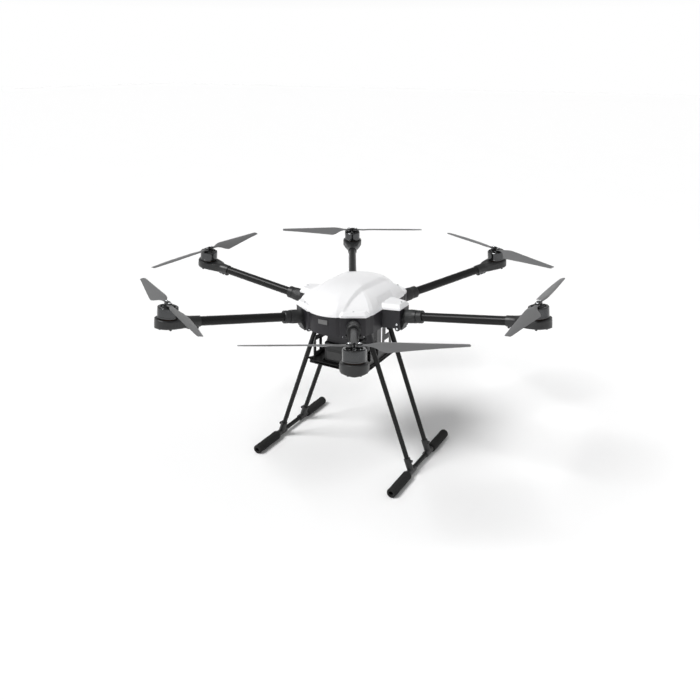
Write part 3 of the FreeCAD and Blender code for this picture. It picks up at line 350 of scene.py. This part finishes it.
# a profile of (radius, height) pairs turned about the third axis
def turnedProfile(profile, columns=64):
    profile = np.asarray(profile, float)
    angle = np.linspace(0, tau, columns, endpoint=False)
    radius = profile[:, :1] * np.ones(columns)
    return np.stack([radius * np.cos(angle), radius * np.sin(angle), profile[:, 1:2] * np.ones(columns)], 2)


# a pipe between two points as one closed skin: outside, end ring, inside, end ring
def pipeGrid(start, end, radius, wall, edge=0.4, columns=48):
    start, end = np.asarray(start, float), np.asarray(end, float)
    way = (end - start) / np.linalg.norm(end - start)
    side = np.cross(way, (0, 0, 1.0) if abs(way[2]) < 0.9 else (0, 1.0, 0))
    side /= np.linalg.norm(side)
    other = np.cross(way, side)
    length = np.linalg.norm(end - start)
    stops = [(radius - edge, 0), (radius, edge), (radius, length - edge), (radius - edge, length),
             (radius - wall, length), (radius - wall, 0)]
    angle = np.linspace(0, tau, columns, endpoint=False)
    circle = np.cos(angle)[:, None] * side + np.sin(angle)[:, None] * other
    return np.stack([start + way * h + circle * r for r, h in stops])


# a plan outline lifted into a plate: rows of (inset, height), the inset along the outline's own normals
def plateGrid(outline, rows):
    outline = np.asarray(outline, float)
    edge = np.roll(outline, -1, 0) - np.roll(outline, 1, 0)
    normal = np.stack([edge[:, 1], -edge[:, 0]], 1) / np.linalg.norm(edge, axis=1)[:, None]
    return np.stack([np.column_stack([outline - normal * inset, np.full(len(outline), height)])
                     for inset, height in rows])


# a rectangle with round corners, anticlockwise
def roundedRectangle(halfX, halfY, corner, steps=6):
    turn = np.linspace(0, tau / 4, steps)
    parts = []
    for quarter, (sx, sy) in enumerate([(1, 1), (-1, 1), (-1, -1), (1, -1)]):
        a = turn + quarter * tau / 4
        parts.append(np.stack([sx * (halfX - corner) + corner * np.cos(a),
                               sy * (halfY - corner) + corner * np.sin(a)], 1))
    return np.concatenate(parts)


def smoothStep(t):
    t = np.clip(t, 0, 1)
    return t * t * (3 - 2 * t)


# the larger of two heights with a fillet of about the given size where they cross
def softMax(a, b, size):
    gap = np.clip(size - np.abs(a - b), 0, None) / size
    return np.maximum(a, b) + gap * gap * size / 4


coverSizes = {"rise": 61.0, "spine": 13.0, "wall": 2.4, "lip": 6.0, "pad": 16.0, "endSlope": 1.45,
              "sideSlope": 0.8, "lugEnd": 186.0, "fullness": 2.8, "shoulder": 0.6, "blend": 1.2,
              "facetAt": (47, 110), "facetSlope": (1.6, 5.0), "sideLine": 133, "creaseAt": (-150, 150),
              "creaseWidth": (7, 28), "creaseShare": (1.0, 0.62), "rings": 92, "spokes": 560}
bodyOutline = [(46, -184), (128, -121), (133, -106), (133, 106), (128, 121), (46, 184)]
spineEdge = {"y": (-195, -164, 130, 195), "half": (44, 63, 75, 44)}
# a lug's root, its half width there and its half width at the end
lugShape = {"side": (133.0, 47.0, 33.0), "diagonal": (172.0, 51.0, 38.0)}


# distance from the centre to a closed outline in each direction
def outlineReach(outline, angle):
    a = np.asarray(outline, float)
    b = np.roll(a, -1, 0)
    way = np.stack([np.cos(angle), np.sin(angle)], 1)[:, None, :]
    e = (b - a)[None]
    det = way[..., 0] * -e[..., 1] + way[..., 1] * e[..., 0]
    det = np.where(np.abs(det) < 1e-9, 1e-9, det)
    far = (a[None, :, 0] * -e[..., 1] + a[None, :, 1] * e[..., 0]) / det
    part = (way[..., 0] * a[None, :, 1] - way[..., 1] * a[None, :, 0]) / det
    return np.where((far > 0) & (part >= -1e-9) & (part <= 1 + 1e-9), far, 0).max(1)


def wholeOutline():
    nose = [(x, -194 + 10 * (x / 46) ** 2) for x in np.linspace(-34.5, 34.5, 5)]
    right = bodyOutline
    left = [(-x, y) for x, y in reversed(right)]
    tail = [(-x, -y) for x, y in nose]
    return right + tail + left + nose


def lugTurn(name):
    hub = arms[name]["hub"]
    return math.atan2(hub[1], hub[0])


# the white cover: a dome over the body's outline, rise times (1 - share^fullness)^shoulder, a stepped
# spine along it, steep facets by its straight sides, and a chamfered pad over each lug
def coverTop():
    s = coverSizes
    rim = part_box("lower_shell")[1][2] / mm
    outline = wholeOutline()
    lugs = []
    for name in armNames:
        turn = lugTurn(name)
        root, half, end = lugShape["side" if abs(math.sin(turn)) < 0.1 else "diagonal"]
        c, n = math.cos(turn), math.sin(turn)
        plan = [(root - 30, -half), (root, -half), (s["lugEnd"], -end), (s["lugEnd"], end), (root, half),
                (root - 30, half)]
        lugs.append((c, n, root, half, end, [(a * c - b * n, a * n + b * c) for a, b in plan]))
    corners = [math.atan2(y, x) % tau for x, y in outline + [p for lug in lugs for p in lug[5][1:5]]]
    even = np.linspace(0, tau, s["spokes"], endpoint=False)
    angle = np.unique(np.round(np.concatenate([even, corners]), 5))
    body = outlineReach(outline, angle)
    reach = np.maximum.reduce([body] + [outlineReach(lug[5], angle) for lug in lugs])

    def height(x, y, share):
        cross = np.interp(y, spineEdge["y"], spineEdge["half"]) - np.abs(x)
        cross = cross / np.interp(y, s["creaseAt"], s["creaseWidth"])
        step = s["spine"] * smoothStep(cross + 0.5) * np.interp(y, s["creaseAt"], s["creaseShare"])
        dome = (s["rise"] + step) * np.clip(1 - share ** s["fullness"], 0, 1) ** s["shoulder"]
        steepness = np.interp(np.abs(y), s["facetAt"], s["facetSlope"])
        facet = steepness * np.clip(s["sideLine"] - np.abs(x), 0, None)
        top = np.maximum(-softMax(-dome, -facet, 1.5), 0)
        for c, n, root, half, end, _ in lugs:
            a, b = x * c + y * n, np.abs(y * c - x * n)
            side = np.interp(a, (root, s["lugEnd"]), (half, end))
            ahead, beside = s["lugEnd"] - a, (side - b) * 0.96
            slope = np.minimum(ahead * s["endSlope"], beside * s["sideSlope"])
            pad = s["lip"] * np.clip(np.minimum(ahead, beside) + 1.0, 0, 1)
            pad = pad + np.clip(slope, 0, s["pad"] - s["lip"])
            pad = pad * smoothStep((a - root + 34) / 8)
            top = np.where(pad > 0.01, softMax(top, pad, s["blend"]), top)
        return top

    def surface(inset, low, spread):
        share = 1 - (1 - np.linspace(0, 1, spread)) ** 1.7
        r = share[:, None] * (reach - inset)[None]
        x, y = r * np.cos(angle), r * np.sin(angle)
        z = height(x, y, np.minimum(r / (body - inset), 1.0))
        return np.stack([x, y, rim + np.maximum(z - low, 0)], 2)

    outer, inner = surface(0.0, 0.0, s["rings"]), surface(s["wall"], s["wall"], 16)
    rimRing = [np.stack([(reach - i) * np.cos(angle), (reach - i) * np.sin(angle),
                         np.full(len(angle), rim)], 1) for i in (0.0, s["wall"])]
    skin = np.concatenate([outer, np.stack(rimRing), inner[::-1]])
    form = Form().grid(skin * mm, caps=False)
    return form.make("coverTop", "airframe", "white_shell", white, ["top_cover"], 24)


coverTop()
print("cover made")


armSizes = {"tube": 14.0, "wall": 1.5, "tubeShort": 30.0, "collar": 21.8, "collarStart": 0.4,
            "collarEnd": 41.6, "bore": 17.15, "crown": 1.3, "chamfer": 1.4, "ribs": 28, "ribDepth": 0.45}


# carbon tube of the arm, stopping short of the motor's axis
def armTube(name):
    arm, s = arms[name], armSizes
    grid = pipeGrid((0, 0, 0), (arm["reach"] / mm - s["tubeShort"], 0, 0), s["tube"], s["wall"])
    Form().grid(onArm(arm, grid), loop=True).make("armTube_" + name, "arm_" + name, "carbon", carbonTube,
                                                  ["arm_tube_" + name])


# lock collar: a barrel, radius = collar - crown * |2 share - 1|^3, with shallow grip flutes cos^2 deep
def lockCollar(name):
    arm, s = arms[name], armSizes
    start, end = s["collarStart"], s["collarEnd"]
    along = np.concatenate([[start, start + 0.2], np.linspace(start + 1.6, end - 1.6, 24), [end - 0.2, end]])
    share = (along - start) / (end - start)
    atEnd = np.minimum(along - start, end - along) < 0.1
    barrel = s["collar"] - s["crown"] * np.abs(2 * share - 1) ** 3 - s["chamfer"] * atEnd
    grip = smoothStep((share - 0.16) / 0.05) * smoothStep((0.80 - share) / 0.05)
    turn = np.linspace(0, tau, s["ribs"] * 8, endpoint=False)
    flute = np.clip(np.cos(turn * s["ribs"]), 0, 1) ** 2
    radius = barrel[:, None] - s["ribDepth"] * grip[:, None] * flute[None]
    bore = np.full((2, len(turn)), s["bore"])
    radius = np.concatenate([radius, bore])
    along = np.concatenate([along, [end, start]])
    grid = np.stack([along[:, None] + 0 * radius, radius * np.cos(turn), radius * np.sin(turn)], 2)
    Form().grid(onArm(arm, grid), loop=True).make("lockCollar_" + name, "collar_" + name, "black_metal",
                                                  collarMetal, ["lock_collar_" + name])


collarMetal = anodisedFinish("collarMetal", 0.012, 0.022, 0.36)
collarMetal.set(Metallic=0.2)
for name in armNames:
    armTube(name)
    lockCollar(name)
print("arms made")


mountSizes = {"disc": 36.6, "low": -14.0, "top": 14.5, "sleeve": 16.5, "sleeveEnd": -94.0, "tube": 14.0,
              "keelHalf": 6.0, "feet": 6, "footCircle": 30, "boltsAt": (-67.0, -81.0), "boltLine": -18.6}
keelSide = [(-91, -15), (-90, -21), (-60, -21), (-37, -13.5), (-37, -8), (-91, -8)]
statorCore = [(9, 14.5), (25.5, 14.5), (25.5, 18.0), (25.0, 18.2), (25.0, 36.0), (9, 36.0)]
neckLine = {"x": (-94, -80, -60, -40, -18), "half": (16.5, 16.6, 19.5, 26.5, 33.5)}


# one moulding from sleeve to disc: at each place along it a superellipse, |y/w|^p + |z/h|^p = 1, whose
# power grows from 2 at the round sleeve to 9 over the disc and 4.6 under it, like a shallow bowl
def motorMount(name):
    arm, s = arms[name], mountSizes
    cosine = np.cos(np.linspace(0, math.pi / 2, 26))
    along = np.concatenate([[s["sleeveEnd"], s["sleeveEnd"] + 0.2, s["sleeveEnd"] + 1.2],
                            np.linspace(s["sleeveEnd"] + 4, -18, 30)[:-1],
                            np.linspace(-18, 12, 14), s["disc"] * np.sqrt(1 - (0.94 * cosine) ** 2)[1:]])
    along = np.unique(np.round(along[along < s["disc"]], 3))
    along = np.append(along, s["disc"] - 0.002)
    circle = np.sqrt(np.clip(s["disc"] ** 2 - along ** 2, 1e-4, None))
    half = np.where(along > -18, circle, np.interp(along, neckLine["x"], neckLine["half"]))
    half = np.where(along < -20, np.convolve(np.pad(half, 2, "edge"), np.ones(5) / 5, "valid"), half)
    disc = smoothStep((along + 66) / 34)
    top = s["sleeve"] + (s["top"] - s["sleeve"]) * disc
    low = s["sleeve"] + (-s["low"] - s["sleeve"]) * disc
    lip = np.where(along < s["sleeveEnd"] + 0.1, 0.9, 0.0)
    half, top, low = half - lip, top - lip, low - lip
    turn = np.linspace(0, tau, 88, endpoint=False)
    c, n = np.cos(turn)[None], np.sin(turn)[None]
    power = np.where(n > 0, 2 + 7.0 * disc[:, None], 2 + 2.6 * disc[:, None])
    size = (np.abs(c) ** power + np.abs(n) ** power) ** (-1 / power)
    y = half[:, None] * size * c
    z = np.where(n > 0, top[:, None], low[:, None]) * size * n
    grid = np.stack([along[:, None] + 0 * y, y, z], 2)
    bore = np.stack([np.stack([np.full(len(turn), x), s["tube"] * c[0], s["tube"] * n[0]], 1)
                     for x in (s["sleeveEnd"] + 6, s["sleeveEnd"])])
    form = Form().grid(onArm(arm, np.concatenate([bore, grid]), "foot"))
    keel = np.array(keelSide, float)
    centre, edge = keel.mean(0), s["keelHalf"]
    rows = []
    for across, share in [(-edge, 0.95), (0.8 - edge, 1.0), (edge - 0.8, 1.0), (edge, 0.95)]:
        shrunk = centre + (keel - centre) * share
        rows.append(np.stack([shrunk[:, 0], np.full(len(keel), across), shrunk[:, 1]], 1))
    form.grid(onArm(arm, np.stack(rows), "foot"))
    for k in range(s["feet"]):
        a = tau * (k + 0.5) / s["feet"]
        place = (s["footCircle"] * math.cos(a), s["footCircle"] * math.sin(a), 0)
        foot = turnedProfile([(2.4, -15.0), (3.2, -14.5), (3.4, -12.0)], 20) + place
        form.grid(onArm(arm, foot, "foot"))
    form.make("motorMount_" + name, "arm_" + name, "black_shell", mountPlastic, ["motor_mount_" + name], 40)
    bolts = Form()
    for x in s["boltsAt"]:
        for side in (-1, 1):
            head = turnedProfile(domeBolt(3.0, 2.2), 24)
            head = np.stack([x + head[..., 0], side * (edge + head[..., 2]), s["boltLine"] + head[..., 1]], 2)
            bolts.grid(onArm(arm, head, "foot"), caps=False)
    bolts.make("mountBolts_" + name, "arm_" + name, "steel", boltSteel)
    Form().grid(onArm(arm, turnedProfile(statorCore, 48), "foot"), loop=True).make(
        "stator_" + name, "arm_" + name, "motor_metal", windings)


# profile of a domed cap screw with a socket in its top, from its seat to its middle
def domeBolt(radius, high):
    a = np.linspace(0, math.pi / 2 * 0.86, 6)
    dome = [(radius * (0.55 + 0.45 * math.cos(t)), high * (0.35 + 0.65 * math.sin(t))) for t in a]
    socket = [(radius * 0.48, high), (radius * 0.46, high * 0.4), (0.0, high * 0.3)]
    return [(0.0, 0.0), (radius * 0.96, 0.0), (radius, high * 0.08)] + dome + socket


mountPlastic = anodisedFinish("mountPlastic", 0.010, 0.018, 0.32)
mountPlastic.set(Metallic=0.0)
for name in armNames:
    motorMount(name)
print("motor mounts made")


rotorSizes = {"can": 29.5, "low": 17.0, "top": 48.0, "wall": 2.5, "windows": 8, "windowCircle": 17.5,
              "windowRadius": 4.6, "windowDepth": 3.2, "plateHalf": 8.0, "boltReach": 12.5, "eye": 4.8,
              "gap": 0.15, "plate": 2.0}


# motor can: a turned shell whose flat top has round pockets about its shaft boss, each a little long across
def motorCan(name):
    arm, s = arms[name], rotorSizes
    can, low, top = s["can"], s["low"], s["top"]
    outer = [(can - s["wall"], low), (can - 0.5, low), (can, low + 0.5), (can, low + 4.0),
             (can - 0.35, low + 4.3), (can - 0.35, low + 5.0), (can, low + 5.3), (can, top - 3.0),
             (can - 0.4, top - 1.5), (can - 1.5, top - 0.4), (can - 3.0, top)]
    flat = [(r, top) for r in np.linspace(25.5, 9.5, 22)]
    boss = [(9.0, top), (8.6, top + 0.4), (8.2, top + 2.8), (7.8, top + 3.1), (3.2, top + 3.1)]
    inner = [(3.2, top - 4.0), (can - s["wall"], top - 4.0)]
    profile = np.array(outer + flat + boss + inner)
    grid = turnedProfile(profile, 128)
    a = np.arctan2(grid[..., 1], grid[..., 0])
    r = np.hypot(grid[..., 0], grid[..., 1])
    sector = tau / s["windows"]
    off = (a + sector / 2) % sector - sector / 2
    near = np.hypot(r * np.cos(off) - s["windowCircle"], r * np.sin(off) * 0.78)
    onTop = np.abs(grid[..., 2] - top) < 0.01
    grid[..., 2] -= s["windowDepth"] * onTop * smoothStep(s["windowRadius"] + 0.5 - near)
    Form().grid(onArm(arm, grid, "foot"), loop=True).make("motorCan_" + name, "rotor_" + name, "motor_metal",
                                                          canMetal, ["rotor_" + name], 30)


# a stadium outline across the two fold bolts
def stadium(half, reach, steps=14):
    a = np.linspace(0, math.pi, steps)
    far = np.stack([half * np.cos(a), reach + half * np.sin(a)], 1)
    return np.concatenate([far, -far])


# hub block: the carrier between can and blades, then a plate under and a plate over the blade eyes
def propHub(name):
    arm, s = arms[name], rotorSizes
    middle = arm["rise"] / mm
    seat, over = middle - s["eye"] / 2 - s["gap"], middle + s["eye"] / 2 + s["gap"]
    form = Form()
    for low, high in ((seat - s["plate"], seat), (over, over + s["plate"])):
        rows = [(0.7, low), (0.0, low + 0.5), (0.0, high - 0.5), (0.7, high)]
        form.grid(onArm(arm, plateGrid(stadium(s["plateHalf"], s["boltReach"]), rows), "foot"))
    block = plateGrid(stadium(s["plateHalf"] - 0.4, s["boltReach"] - 1.0),
                      [(0.8, s["top"] + 0.4), (0.0, s["top"] + 1.2), (0.0, seat - s["plate"] + 0.1)])
    form.grid(onArm(arm, block, "foot"))
    for y in (-s["boltReach"], 0, s["boltReach"]):
        post = turnedProfile([(2.1, seat - 0.5), (2.1, over + 0.5)], 20) + (0, y, 0)
        form.grid(onArm(arm, post, "foot"))
    nut = turnedProfile([(3.6, over + 1.8), (3.9, over + 2.0), (3.9, over + 3.8), (3.4, over + 4.3),
                         (1.6, over + 4.3), (1.6, over + 3.4)], 6)
    form.grid(onArm(arm, nut, "foot"))
    form.make("propHub_" + name, "rotor_" + name, "black_metal", blackMetal, (), 30)
    bolts = Form()
    for y in (-s["boltReach"], s["boltReach"]):
        head = turnedProfile(domeBolt(4.4, 3.0), 28) + (0, y, over + s["plate"] - 0.05)
        bolts.grid(onArm(arm, head, "foot"), caps=False)
    bolts.make("foldBolts_" + name, "rotor_" + name, "steel", boltSteel)


for name in armNames:
    motorCan(name)
    propHub(name)
print("motors made")


bladeSizes = {"eye": 7.5, "thick": 4.8, "bolt": 12.5, "bore": 2.06, "tip": 279.5, "tipRound": 3,
              "neck": (14.5, 21.5), "neckHalf": 5.0, "lens": 1.95, "camber": 0.05, "drop": 0.02, "rows": 64}
bladeLine = {"span": (20, 28, 36, 50, 64, 78, 120, 200, 262, 279.5),
             "lead": (5.0, 5.2, 6.6, 12.0, 14.6, 15.0, 14.0, 11.5, 9.2, 8.2),
             "trail": (5.0, 5.2, 6.6, 12.0, 24.5, 31.0, 27.0, 18.0, 10.6, 8.2),
             "thick": (4.8, 4.8, 4.7, 4.4, 4.2, 4.0, 3.3, 2.4, 1.7, 1.2),
             "pitch": (0.0, 2.0, 6.0, 14.0, 18.5, 20.0, 16.0, 10.5, 7.8, 7.0)}


# a smooth line through the stations: straight runs softened by a moving average
def softened(x, line, key, reach=3.5):
    spots = np.linspace(-reach, reach, 15)
    return np.mean([np.interp(x + d, line["span"], line[key]) for d in spots], 0)


# blade: a section lofted out from a square root, half thickness = thick * lens * (sqrt(s) - s) about a
# camber line chord * (camber * 4 s (1 - s) - drop), a round eye on the fold bolt and a neck between
def blade(name, letter):
    arm, s = arms[name], bladeSizes
    way = -1 if name in clockwise else 1
    start = bladeLine["span"][0]
    span = start + (s["tip"] - start) * (1 - (1 - np.linspace(0, 1, s["rows"])) ** 1.25)
    lead, trail = [softened(span, bladeLine, key) for key in ("lead", "trail")]
    thick, pitch = softened(span, bladeLine, "thick"), np.radians(softened(span, bladeLine, "pitch"))
    nearTip = np.clip((span - s["tip"] + s["tipRound"]) / (s["tipRound"] + 0.02), 0, 1)
    roundTip = np.sqrt(np.clip(1 - nearTip ** 2, 0.5, 1))
    chord, middle = (lead + trail) * roundTip, (lead - trail) / 2
    t = np.concatenate([np.linspace(0, math.pi, 17), np.linspace(math.pi, tau, 17)[1:-1]])
    share = (1 - np.cos(t)) / 2
    lens = np.sign(math.pi - t - 1e-9) * (np.sqrt(share) - share) * s["lens"]
    slab = np.sign(math.pi - t - 1e-9) * 0.5 * (1 - np.abs(2 * share - 1) ** 6)
    root = smoothStep((48 - span) / 24)[:, None]
    across = middle[:, None] + chord[:, None] * (0.5 - share)
    lift = thick[:, None] * (root * slab + (1 - root) * lens)
    lift = lift + (1 - root) * s["camber"] * chord[:, None] * 4 * share * (1 - share)
    lift = lift - (1 - root) * s["drop"] * chord[:, None]
    cosine, sine = np.cos(pitch)[:, None], np.sin(pitch)[:, None]
    y = way * (across * cosine - lift * sine)
    z = across * sine + lift * cosine + arm["rise"] / mm
    local = np.stack([span[:, None] + 0 * y, y, z], 2)
    high = arm["rise"] / mm + s["thick"] / 2
    low = high - s["thick"]
    rim = s["eye"]
    eye = turnedProfile([(s["bore"], low), (rim - 0.5, low), (rim, low + 0.5), (rim, high - 0.5),
                         (rim - 0.5, high), (s["bore"], high)], 40) + (s["bolt"], 0, 0)
    turn = 1 if letter == "a" else -1
    spin = lambda p: np.stack([-turn * p[..., 1], turn * p[..., 0], p[..., 2]], -1)
    form = Form().grid(onArm(arm, spin(local), "foot"))
    n, (near, far) = s["neckHalf"], s["neck"]
    neck = plateGrid([(near, -n), (far, -n), (far, n), (near, n)],
                     [(0.3, low), (0, low + 0.4), (0, high - 0.4), (0.3, high)])
    form.grid(onArm(arm, spin(eye), "foot"), loop=True)
    form.grid(onArm(arm, spin(neck), "foot"))
    form.make("blade_" + letter + "Wing_" + name, "blade_" + letter + "_" + name, "blade", bladeNylon,
              ["blade_" + letter + "_" + name], 40)


for name in armNames:
    blade(name, "a")
    blade(name, "b")
print("blades made")


gearSizes = {"tube": 8.0, "wall": 1.2, "foam": 16.0, "track": 262.0, "half": 206.0, "foamIn": 95.0,
             "foamLength": 123.0, "endRound": 4.5, "endDrop": 3.4, "plane": 70.0, "topX": 86.0,
             "bottomGap": 14.0, "topGap": 5.0, "height": 16.0}


def gearTubes():
    s = gearSizes
    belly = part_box("strut_sockets")[1][2] / mm
    skids, struts = Form(), Form()
    for side in (-1, 1):
        x = side * s["track"]
        ends = [(x, end * s["half"], s["height"]) for end in (-1, 1)]
        skids.grid(pipeGrid(*ends, s["tube"], s["wall"]) * mm, loop=True)
        for end in (-1, 1):
            foot = np.array((x, end * s["plane"], s["height"]))
            head = np.array((side * s["topX"], end * s["plane"], belly))
            way = (head - foot) / np.linalg.norm(head - foot)
            top = head - way * s["topGap"] / way[2]
            struts.grid(pipeGrid(foot + way * s["bottomGap"], top, s["tube"], s["wall"]) * mm, loop=True)
    skids.make("skidTubes", "airframe", "carbon", carbonTube, ["skid_tubes"])
    struts.make("strutTubes", "airframe", "carbon", carbonTube, ["struts"])


# foam sleeves: a thick pipe, its ends rounded by endDrop * (1 - edge / endRound)^2.2, pinched by up to
# 0.4 mm in slow waves along it
def foamSleeves():
    s = gearSizes
    form = Form()
    along = np.concatenate([[0, 0.6, 2.0, 4.5], np.linspace(8, 115, 34),
                            [118.5, 121.0, 122.4, s["foamLength"]]])
    edge = np.minimum(along, s["foamLength"] - along)
    turn = np.linspace(0, tau, 44, endpoint=False)
    outer = s["foam"] - s["endDrop"] * np.clip(1 - edge / s["endRound"], 0, 1) ** 2.2
    for number, (side, end) in enumerate([(a, b) for a in (-1, 1) for b in (-1, 1)]):
        wave = 0.2 - 0.2 * np.sin(along[:, None] * 0.11 + number + 1.3 * np.sin(turn + number)[None])
        radius = outer[:, None] - wave * (edge[:, None] > 3)
        radius = np.concatenate([radius, np.full((4, len(turn)), s["tube"])])
        place = np.concatenate([along, [122.2, 90.0, 30.0, 0.8]])
        y = end * (s["foamIn"] + place)[:, None] + 0 * radius
        x, z = side * s["track"] + radius * np.cos(turn), s["height"] + radius * np.sin(turn)
        grid = np.stack([x, y, z], 2)
        form.grid(grid * mm, loop=True)
    piece = form.make("foamSleeves", "airframe", "foam", foam, ["foam_sleeves"], 50)


gearTubes()
foamSleeves()
print("landing gear made")


batterySizes = {"halfX": 52.0, "halfY": 100.0, "corner": 7.0, "lidLine": 44.0, "groove": 0.9,
                "panel": (40.0, 15.0, 4.0), "panelRise": 23}


# battery case: a rounded outline carried up with soft edges, a parting groove and two end panels
def batteryCasePiece():
    s = batterySizes
    low, high = [c[2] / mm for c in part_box("battery")]
    outline = roundedRectangle(s["halfX"], s["halfY"], s["corner"])
    top = high - low
    lid, groove = s["lidLine"], s["groove"]
    rows = [(3.5, 0), (1.2, 0.7), (0.3, 1.8), (0, 3.4), (0, lid - 1.0), (groove, lid - 0.6),
            (groove, lid + 0.6), (0, lid + 1.0), (0, top - 3.4), (0.3, top - 1.8), (1.2, top - 0.7),
            (3.5, top)]
    form = Form().grid(plateGrid(outline, [(i, low + z) for i, z in rows]) * mm)
    form.make("batteryShell", "battery", "battery_case", batteryCase, ["battery"], 35)
    front = Form()
    rows = plateGrid(roundedRectangle(*s["panel"]), [(0.6, 0.0), (0.0, -0.9), (0.9, -1.5), (3.0, -1.5),
                                                     (3.6, -0.9)])
    for end in (-1, 1):
        face = np.stack([rows[..., 0], end * (s["halfY"] - 0.1 - rows[..., 2]),
                         low + s["panelRise"] + rows[..., 1]], 2)
        front.grid(face * mm)
    front.make("batteryEndPanels", "battery", "battery_case", plateDark)


batteryCasePiece()
print("battery made")


finishOf = {"lower_shell": black, "arm_lugs": black, "frame_plates": carbonPlate, "standoffs": blackMetal,
            "flight_controller": plateDark, "power_board": boardGreen, "name_plate": plateGrey,
            "strut_sockets": black, "tee_joints": mountPlastic, "tray_plates": carbonPlate,
            "side_plates": greyMetal, "pins_and_screws": boltSteel, "battery_latch": blackMetal}
for nodeName, node in frame["nodes"].items():
    chosen = finishOf.get(nodeName)
    if nodeName.startswith("arm_knuckle_"):
        chosen = collarMetal
    if chosen:
        for k in range(len(node.material_slots)):
            node.material_slots[k].material = chosen.material
print("finishes on the frame's own nodes")


studio = {"floor": 0.93, "floorHalf": 30, "horizon": 1.0, "zenith": 0.40, "band": (0.06, 0.30), "sun": 2.7,
          "sunSpread": 24, "sunFrom": (-0.62, -0.93, 1.5), "rim": 8.0}


def softLight(name, place, size, power, target=(0, 0, 0.5)):
    light = bpy.data.lights.new(name, "AREA")
    light.shape, light.size, light.size_y, light.energy = "RECTANGLE", size[0], size[1], power
    lamp = bpy.data.objects.new(name, light)
    lamp.location = place
    lamp.rotation_euler = (Vector(target) - Vector(place)).to_track_quat("-Z", "Y").to_euler()
    bpy.context.scene.collection.objects.link(lamp)


def buildStudio():
    paint = plainFinish("studioFloor", grey(studio["floor"] - 0.01), grey(studio["floor"]), 0.75, 0.0, 2.0)
    mesh = bpy.data.meshes.new("studioFloor")
    wide = studio["floorHalf"]
    corners = [(-wide, -wide, 0), (wide, -wide, 0), (wide, wide, 0), (-wide, wide, 0)]
    mesh.from_pydata(corners, [], [(0, 1, 2, 3)])
    mesh.materials.append(paint.material)
    floor = bpy.data.objects.new("studioFloor", mesh)
    bpy.context.scene.collection.objects.link(floor)
    world = bpy.data.worlds.new("studioSky")
    world.use_nodes = True
    tree = world.node_tree
    place, parts = tree.nodes.new("ShaderNodeTexCoord"), tree.nodes.new("ShaderNodeSeparateXYZ")
    band = tree.nodes.new("ShaderNodeMapRange")
    tree.links.new(place.outputs[0], parts.inputs[0])
    tree.links.new(parts.outputs[2], band.inputs[0])
    for slot, number in zip(band.inputs[1:5], (*studio["band"], studio["horizon"], studio["zenith"])):
        slot.default_value = number
    tree.links.new(band.outputs[0], tree.nodes["Background"].inputs[1])
    tree.nodes["Background"].inputs[0].default_value = (1, 1, 1, 1)
    bpy.context.scene.world = world
    sun = bpy.data.lights.new("overheadSoftbox", "SUN")
    sun.energy, sun.angle = studio["sun"], math.radians(studio["sunSpread"])
    lamp = bpy.data.objects.new("overheadSoftbox", sun)
    lamp.rotation_euler = Vector(studio["sunFrom"]).to_track_quat("Z", "Y").to_euler()
    bpy.context.scene.collection.objects.link(lamp)
    softLight("rimLight", (2.6, 2.2, 1.6), (1.0, 2.4), studio["rim"])


# the viewpoint: turned about a point on the craft's axis, at a distance, with a small roll
viewpoint = {"target": (0, 0, 0.3717), "azimuth": 29.69, "elevation": 23.31, "distance": 2.273,
             "lens": 34.637,
             "shiftX": -0.00417, "roll": 0.08}


def buildCamera():
    v = viewpoint
    a, e = math.radians(v["azimuth"]), math.radians(v["elevation"])
    away = Vector((math.sin(a) * math.cos(e), -math.cos(a) * math.cos(e), math.sin(e)))
    lens = bpy.data.cameras.new("view")
    lens.lens, lens.sensor_width, lens.shift_x = v["lens"], 36.0, v["shiftX"]
    camera = bpy.data.objects.new("view", lens)
    camera.location = Vector(v["target"]) + away * v["distance"]
    turn = (-away).to_track_quat("-Z", "Y")
    camera.rotation_euler = turn.to_euler()
    camera.rotation_euler.rotate_axis("Z", math.radians(v["roll"]))
    bpy.context.scene.collection.objects.link(camera)
    bpy.context.scene.camera = camera


buildStudio()
bpy.context.scene.view_settings.view_transform = "Standard"
buildCamera()
print("studio and camera set")
